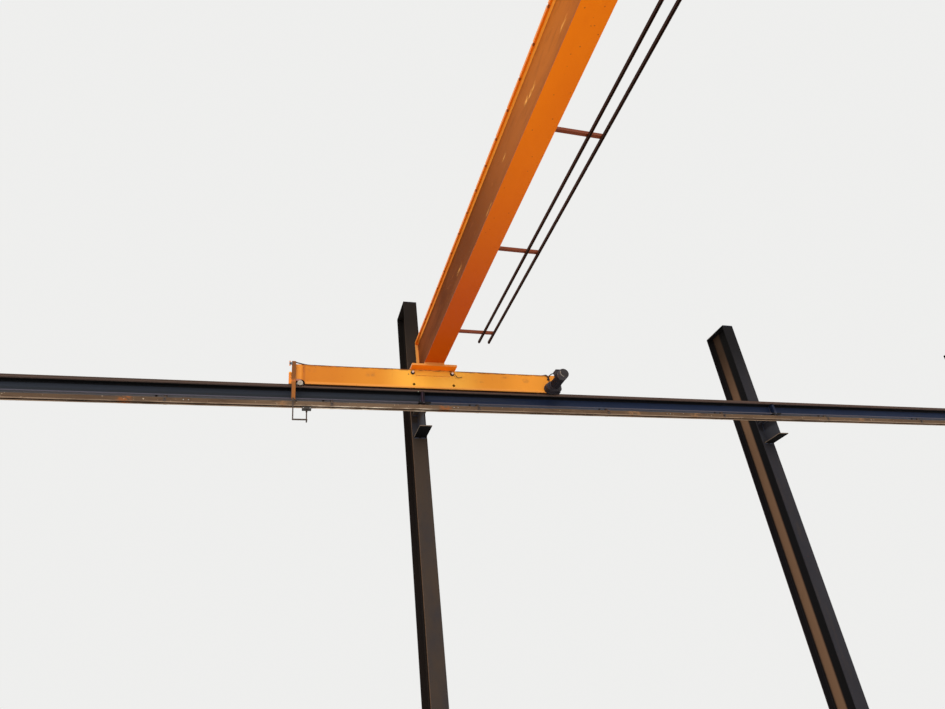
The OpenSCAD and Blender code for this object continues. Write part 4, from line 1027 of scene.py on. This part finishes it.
# small bracket on the post's top
p.box((px - 0.06, py - 0.012, 6.475), (px - 0.02, py - 0.005, 6.515), HOIST)
p.rod((px - 0.045, py - 0.018, 6.49), (px - 0.045, py - 0.012, 6.49), 0.008, BOLT_DARK, 12)
p.box((px - 0.062, py - 0.01, 6.455), (px - 0.045, py - 0.006, 6.535), POST)
p.lathe([(0.0, 0.0), (0.012, 0.0), (0.016, 0.004), (0.017, 0.01), (0.014, 0.017), (0.007, 0.021), (0.0, 0.022)],
        -Y, EDGE_LINE, 20, (-1.999, py - 0.005, 6.345))
# guide disc at the notch, on its bracket
p.box((-1.94, py + 0.005, 6.235), (-1.85, py + 0.013, 6.265), BRACKET)
p.box((-1.878, py + 0.005, 6.19), (-1.852, py + 0.013, 6.237), BRACKET)
p.lathe([(0.0, 0.0), (0.034, 0.0), (0.036, 0.002), (0.036, 0.01), (0.034, 0.012), (0.012, 0.012), (0.011, 0.016),
         (0.0, 0.016)], -Y, DISC_AND_GLINT, 36, (-1.865, py + 0.005, 6.203))
# clamp on the post's foot
p.box((px - 0.014, py - 0.014, 5.925), (px + 0.014, py + 0.009, 5.97), HANGER)
p.rod((px + 0.015, py + 0.001, 5.95), (px + 0.05, py + 0.003, 5.927), 0.006, BOLT_DARK, 10)
mx = px + 0.18                   # the collector's middle
p.box((mx - 0.012, HOUSE_Y - 0.014, 5.80), (mx + 0.012, HOUSE_Y + 0.014, 5.828), HANGER)
for x in (mx - 0.045, mx + 0.045):
    p.rod((x, HOUSE_Y - 0.03, 5.85), (x, HOUSE_Y + 0.03, 5.85), 0.006, WORN, 14)
    p.box((x - 0.011, HOUSE_Y - 0.018, 5.872), (x + 0.011, HOUSE_Y + 0.018, 5.8765), WORN, 0.001)
p.make()

# --- cables, tied down along the carriage's top edge

p = Part("carriage_cable_set", "bridge", "rubber_black", "carriage_cables").at(BX)
ly, lz = CAR_FACE + 0.03, CAR_TOP + 0.0091
to_post = [(-0.331, ly, lz), (-0.7, ly - 0.003, lz), (-1.2, ly + 0.004, lz), (-1.6, ly - 0.002, lz),
           (-1.72, ly, lz + 0.001), (-1.8, ly - 0.001, lz + 0.008), (-1.9, ly - 0.012, lz + 0.024),
           (-1.93, 7.872, lz + 0.022), (-1.95, 7.847, lz + 0.013)]
to_gland = [(0.331, ly, lz), (0.8, ly - 0.004, lz), (1.3, ly + 0.003, lz), (1.62, ly, lz), (1.708, ly, lz),
            (1.752, ly - 0.012, lz + 0.001), (1.776, CAR_FACE - 0.007, lz - 0.009),
            (1.79, CAR_FACE - 0.0098, lz - 0.04), (1.798, CAR_FACE - 0.0098, 6.442)]
to_motor = [(1.80, CAR_FACE - 0.0105, 6.444), (1.802, 7.845, 6.466), (1.804, 7.80, 6.474), (1.808, 7.72, 6.454),
            (1.818, 7.65, 6.406), (1.825, 7.605, 6.37), (1.825, 7.575, 6.36), (1.825, 7.565, 6.359)]
for run in (to_post, to_gland, to_motor):
    p.tube(smooth_path(run), 0.008, CABLE, 12)
tie = ((-0.0095, 0.001), (-0.0095, 0.012), (-0.006, 0.018), (0.006, 0.018), (0.0095, 0.012), (0.0095, 0.001))
for x in (-0.6, -1.0, -1.4, -1.68, 0.6, 1.0, 1.4, 1.68):
    p.box((x - 0.009, ly - 0.022, CAR_TOP), (x + 0.009, ly + 0.022, CAR_TOP + 0.002), WORN, 0.0005)
    p.tube([(x, ly + y, CAR_TOP + z) for y, z in tie], 0.0018, WORN, 6)
p.lathe([(0.0, 0.0), (0.018, 0.0), (0.02, 0.003), (0.02, 0.011), (0.017, 0.014), (0.012, 0.02), (0.0, 0.021)],
        -Y, BOLT_DARK, 20, (1.799, CAR_FACE, 6.44))
p.make()

# --- cable rails

p = Part("cable_rail_fittings", "bridge", "cable_rail_steel").at(BX)
RAILS_X = (0.775, 0.931)
for x, d in product(RAILS_X, BOTH):
    p.box((x - 0.0155, d * 7.9, 7.0395), (x + 0.0155, d * 7.897, 7.0705), DARK_RAIL, 0.001)
for i in range(-4, 5):
    y = i * 1.92
    for x in RAILS_X:
        p.bolt((x, y + 0.005, 7.08), Z, 0.01)
    for _ in range(2):               # the weld has two passes
        p.bead((WEB_X, (y - 0.02, y + 0.02), 7.075), X, -Z, 0.005, WELD)
    p.bead((WEB_X, (y - 0.015, y - 0.02), (7.115, 7.08)), X, -Y, 0.005, WELD)
p.make()

# --- hoist

p = Part("trolley_wheel_set", "bridge", "wheel_steel", "trolley_wheels")
zw = GIRDER_FOOT + 0.05 + 0.0003
wheel = [(0.0, 0.0), (0.02, 0.0), (0.02, 0.006), (0.049, 0.006), (0.05, 0.008), (0.05, 0.03), (0.048, 0.034),
         (0.036, 0.034), (0.034, 0.03), (0.02, 0.03), (0.018, 0.033), (0.0, 0.034)]
for s, y in product(BOTH, (-0.28, 0.28)):
    p.at(BX, HOIST_Y + y, zw).lathe(wheel, X * -s, CAST, 36, (s * 0.151, 0, 0))
p.make()

p = Part("trolley_fittings", "bridge", "crane_paint").at(BX, HOIST_Y)
for s in BOTH:
    x = s * 0.163
    for y in (-0.28, 0.28):
        p.bolt((x, y, zw), X * s, 0.03, BOLT, 0.01, WORN)
        for dy, dz in arc(0.05, 45, 90, 4):
            p.bolt((x, y + dy, zw + dz * 0.7), X * s, 0.008)
    for y, z in product((-0.37, 0.37), (6.28, 6.36, 6.44, 6.51)):
        p.bolt((x, y, z), X * s, 0.014)
    p.box((x, -0.36, 6.245), (x + s * 0.008, 0.36, 6.26), CRANE)
    p.box((x, -0.006, 6.26), (x + s * 0.006, 0.006, 6.55), CRANE)
p.make()

p = Part("hoist_set", "bridge", "motor_paint", "hoist").at(BX, HOIST_Y, 6.365)
drum = [(0.0, -0.32), (0.109, -0.32), (0.11, -0.318), (0.11, -0.304), (0.102, -0.302)]
for i in range(26):                  # grooves
    y = -0.295 + i * (0.59 / 26)
    drum += [(0.1035, y), (0.099, y + 0.006), (0.0975, y + 0.0113), (0.099, y + 0.0167)]
drum += [(0.102, 0.302), (0.11, 0.304), (0.11, 0.318), (0.109, 0.32), (0.0, 0.32)]
p.lathe(drum, Y, CAST, 48)
for s in BOTH:
    turns = [(x, s * (0.032 + i / 24 * 0.0113), z) for i, (x, z) in enumerate(arc(0.1045, 0, 15, 7 * 24 + 1))]
    p.tube(turns, 0.005, ROPE, 8)
    p.rod((0, s * 0.32, 0), (0, s * 0.368, 0), 0.03, WORN, 28)
# motor with ribs and fan cover
p.lathe([(0.0, 0.38), (0.112, 0.38), (0.115, 0.384), (0.115, 0.4), (0.1, 0.404), (0.1, 0.61), (0.116, 0.613),
         (0.12, 0.617), (0.12, 0.685), (0.113, 0.696), (0.095, 0.7), (0.0, 0.7)], Y, HOIST, 48)
p.fins(40, (0.404, 0.612), (0.098, 0.003), (0.1165, 0.002), HOIST)
for r in (0.02, 0.04, 0.06, 0.08):
    p.lathe([(r, 0.6995), (r + 0.009, 0.6995), (r + 0.009, 0.69995), (r, 0.69995)], Y, BOLT_DARK, 40)
# gear case: two castings bolted together
p.lathe([(0.0, -0.56), (0.06, -0.556), (0.085, -0.548), (0.1, -0.52), (0.122, -0.492), (0.13, -0.486), (0.13, -0.464),
         (0.118, -0.46), (0.118, -0.414), (0.13, -0.41), (0.13, -0.386), (0.124, -0.38), (0.0, -0.38)], Y, HOIST, 48)
for x, z in arc(0.1235, 0, 36, 10):
    p.bolt((x, -0.49, z), -Y, 0.009)
p.make()

# Ropes: six strands laid round each other, 65 mm to a turn, from the drum down to the block
FALL, LAY, STEPS = 0.5, 0.065, 60
p = Part("hoist_rope_set", "bridge", "bright_steel", "hoist_ropes")
for sx, sy in product(BOTH, BOTH):
    p.at(BX + sx * 0.1103, HOIST_Y + sy * 0.03, 5.865)
    for q in range(6):
        strand = enumerate(arc(0.0032, q * 60, 360 * FALL / LAY / STEPS, STEPS + 1))
        p.tube([(x, y, FALL * i / STEPS) for i, (x, y) in strand], 0.0017, ROPE, 5)
p.make()

p = Part("hook_block_set", "bridge", "hook_paint", "hook_block").at(BX, HOIST_Y)
lo, hi, w = 5.565, 5.865, 0.1403
half = [(w * 0.62, lo), (w * 0.86, lo + 0.05), (w, lo + 0.12), (w, hi - 0.07), (w * 0.93, hi - 0.03), (w * 0.8, hi)]
cheek = [(-w * 0.62, lo)] + half + [(-x, z) for x, z in half[:0:-1]]
for s in BOTH:
    p.slab(cheek, s * 0.043, s * 0.055, HOOK, 0.004)
    for x, z in ((0.0, 5.74), (-0.1, 5.63), (0.1, 5.63), (-0.11, 5.82), (0.11, 5.82)):
        p.disc((x, s * 0.0535, z), Y * s, 0.012 if x else 0.03, 0.0014, WORN, 24, 0.0004)
sheave = [(0.0, -0.011), (0.098, -0.011), (0.1053, -0.0095), (0.1015, -0.005), (0.0985, 0.0), (0.1015, 0.005),
          (0.1053, 0.0095), (0.098, 0.011), (0.0, 0.011)]
for y in (-0.03, 0.03):
    p.lathe(sheave, Y, CAST, 48, (0, y, 5.74))
p.box((-0.09, -0.043, lo), (0.09, 0.043, lo + 0.05), HOOK, 0.006)
for s in BOTH:
    p.box((s * 0.118, -0.043, lo + 0.09), (s * 0.135, 0.043, hi - 0.06), HOOK, 0.004)
# shank, swivel collar and forged hook, which tapers to its tip
p.lathe([(0.0, 0.0), (0.021, 0.0), (0.022, 0.004), (0.022, 0.03), (0.0255, 0.036), (0.0255, 0.05), (0.022, 0.054),
         (0.022, 0.062)], Z, HOOK, 32, (0, 0, 5.505))
hook_z, hook_r, rings, seg = 5.443, 0.062, 54, 18
verts, faces = [], []
for i in range(rings + 1):
    t = i / rings
    g = math.radians(90 + 270 * t)
    r = 0.0218 * (0.82 + 0.2 * math.sin(math.pi * min(1, t * 1.35)))
    if t > 0.86:
        r *= 1 - 0.62 * ((t - 0.86) / 0.14) ** 1.5
    out = Vector((math.cos(g), 0, math.sin(g)))
    middle = Vector((0, 0, hook_z)) + out * hook_r
    for j in range(seg):
        a = 2 * math.pi * j / seg
        verts.append(middle + out * r * math.cos(a) + Y * r * 0.88 * math.sin(a))
    if i:
        faces += [f[::-1] for f in between((i - 1) * seg, i * seg, seg)]
faces += [list(range(seg)), list(range(rings * seg, (rings + 1) * seg))[::-1]]
p.put(verts, faces, HOOK, True)
# latch across the mouth
p.box((0.018, -0.009, 5.4985), (0.03, 0.009, 5.504), WORN, 0.001)
p.tube([(0.024, 0.0, 5.5), (0.04, 0.0, 5.478), (0.056, 0.0, 5.448)], 0.0035, WORN, 8)
p.make()

# --- camera, as solved from the photo's lines, with its focal length in the photo's pixels

FOCAL, PHOTO_WIDTH, SENSOR = 684.4, 945.0, 36.0
cam_data = bpy.data.cameras.new("camera")
cam = bpy.data.objects.new("camera", cam_data)
scene.collection.objects.link(cam)
forward = Vector((0.2907, 0.8126, 0.5050)).normalized()
down = Vector((0.0508, 0.5140, -0.8563))
down = (down - forward * down.dot(forward)).normalized()
right = down.cross(forward).normalized()
rot = Matrix((right, -down, -forward)).transposed()
cam.matrix_world = Matrix.Translation((-5.183, -0.465, 1.634)) @ rot.to_4x4()
cam_data.sensor_width = SENSOR
cam_data.lens = FOCAL * SENSOR / PHOTO_WIDTH
cam_data.clip_start, cam_data.clip_end = 0.05, 500.0
scene.camera = cam


# --- light

def sun(name, direction, strength, angle, colour):
    data = bpy.data.lights.new(name, "SUN")
    data.energy, data.angle, data.color = strength, math.radians(angle), colour
    ob = bpy.data.objects.new(name, data)
    ob.rotation_mode = "QUATERNION"
    ob.rotation_quaternion = Vector(direction).to_track_quat("-Z", "Y")
    scene.collection.objects.link(ob)


sun("key", (0.35, 0.75, -0.62), 2.02, 75, (1.0, 0.98, 0.95))
sun("fill", (-0.75, -0.45, -0.5), 0.6, 60, (0.95, 0.97, 1.0))

# The world is plain behind the crane, and dimmer and bluer where it lights it
BACKDROP = (0.86, 0.86, 0.85, 1.0)
world = scene.world = bpy.data.worlds.new("studio")
w = Tree(world)
lit = w.node("ShaderNodeBackground", (0.96, 0.98, 1.0, 1.0), 0.55)
seen = w.node("ShaderNodeBackground", BACKDROP, 1.0)
ray = w.node("ShaderNodeLightPath").outputs
sharp_ray = w.math("MAXIMUM", w.math("MAXIMUM", ray["Is Camera Ray"], ray["Is Glossy Ray"]),
                   ray["Is Transmission Ray"])
mixer = w.node("ShaderNodeMixShader", sharp_ray, lit.outputs[0], seen.outputs[0])
w.node("ShaderNodeOutputWorld", mixer.outputs[0])

# --- floor, which fades into the backdrop from 22 m out

floor_look = bpy.data.materials.new("floor")
w = Tree(floor_look)
diffuse = w.node("ShaderNodeBsdfDiffuse", (0.8, 0.8, 0.79, 1.0))
glow = w.node("ShaderNodeEmission", BACKDROP)
radius = w.node("ShaderNodeVectorMath", w.node("ShaderNodeTexCoord").outputs["Object"])
radius.operation = "LENGTH"
fade = w.math("MULTIPLY", w.step(radius.outputs["Value"], 22.0, 60.0),
              w.node("ShaderNodeLightPath").outputs["Is Camera Ray"])
mixer = w.node("ShaderNodeMixShader", fade, diffuse.outputs[0], glow.outputs[0])
w.node("ShaderNodeOutputMaterial", mixer.outputs[0])
floor_mesh = bpy.data.meshes.new("floor")
floor_mesh.from_pydata([(-200, -200, -0.001), (200, -200, -0.001), (200, 200, -0.001), (-200, 200, -0.001)],
                       [], [(0, 1, 2, 3)])
floor_mesh.materials.append(floor_look)
floor = bpy.data.objects.new("floor", floor_mesh)
scene.collection.objects.link(floor)

scene.view_settings.view_transform = "Standard"
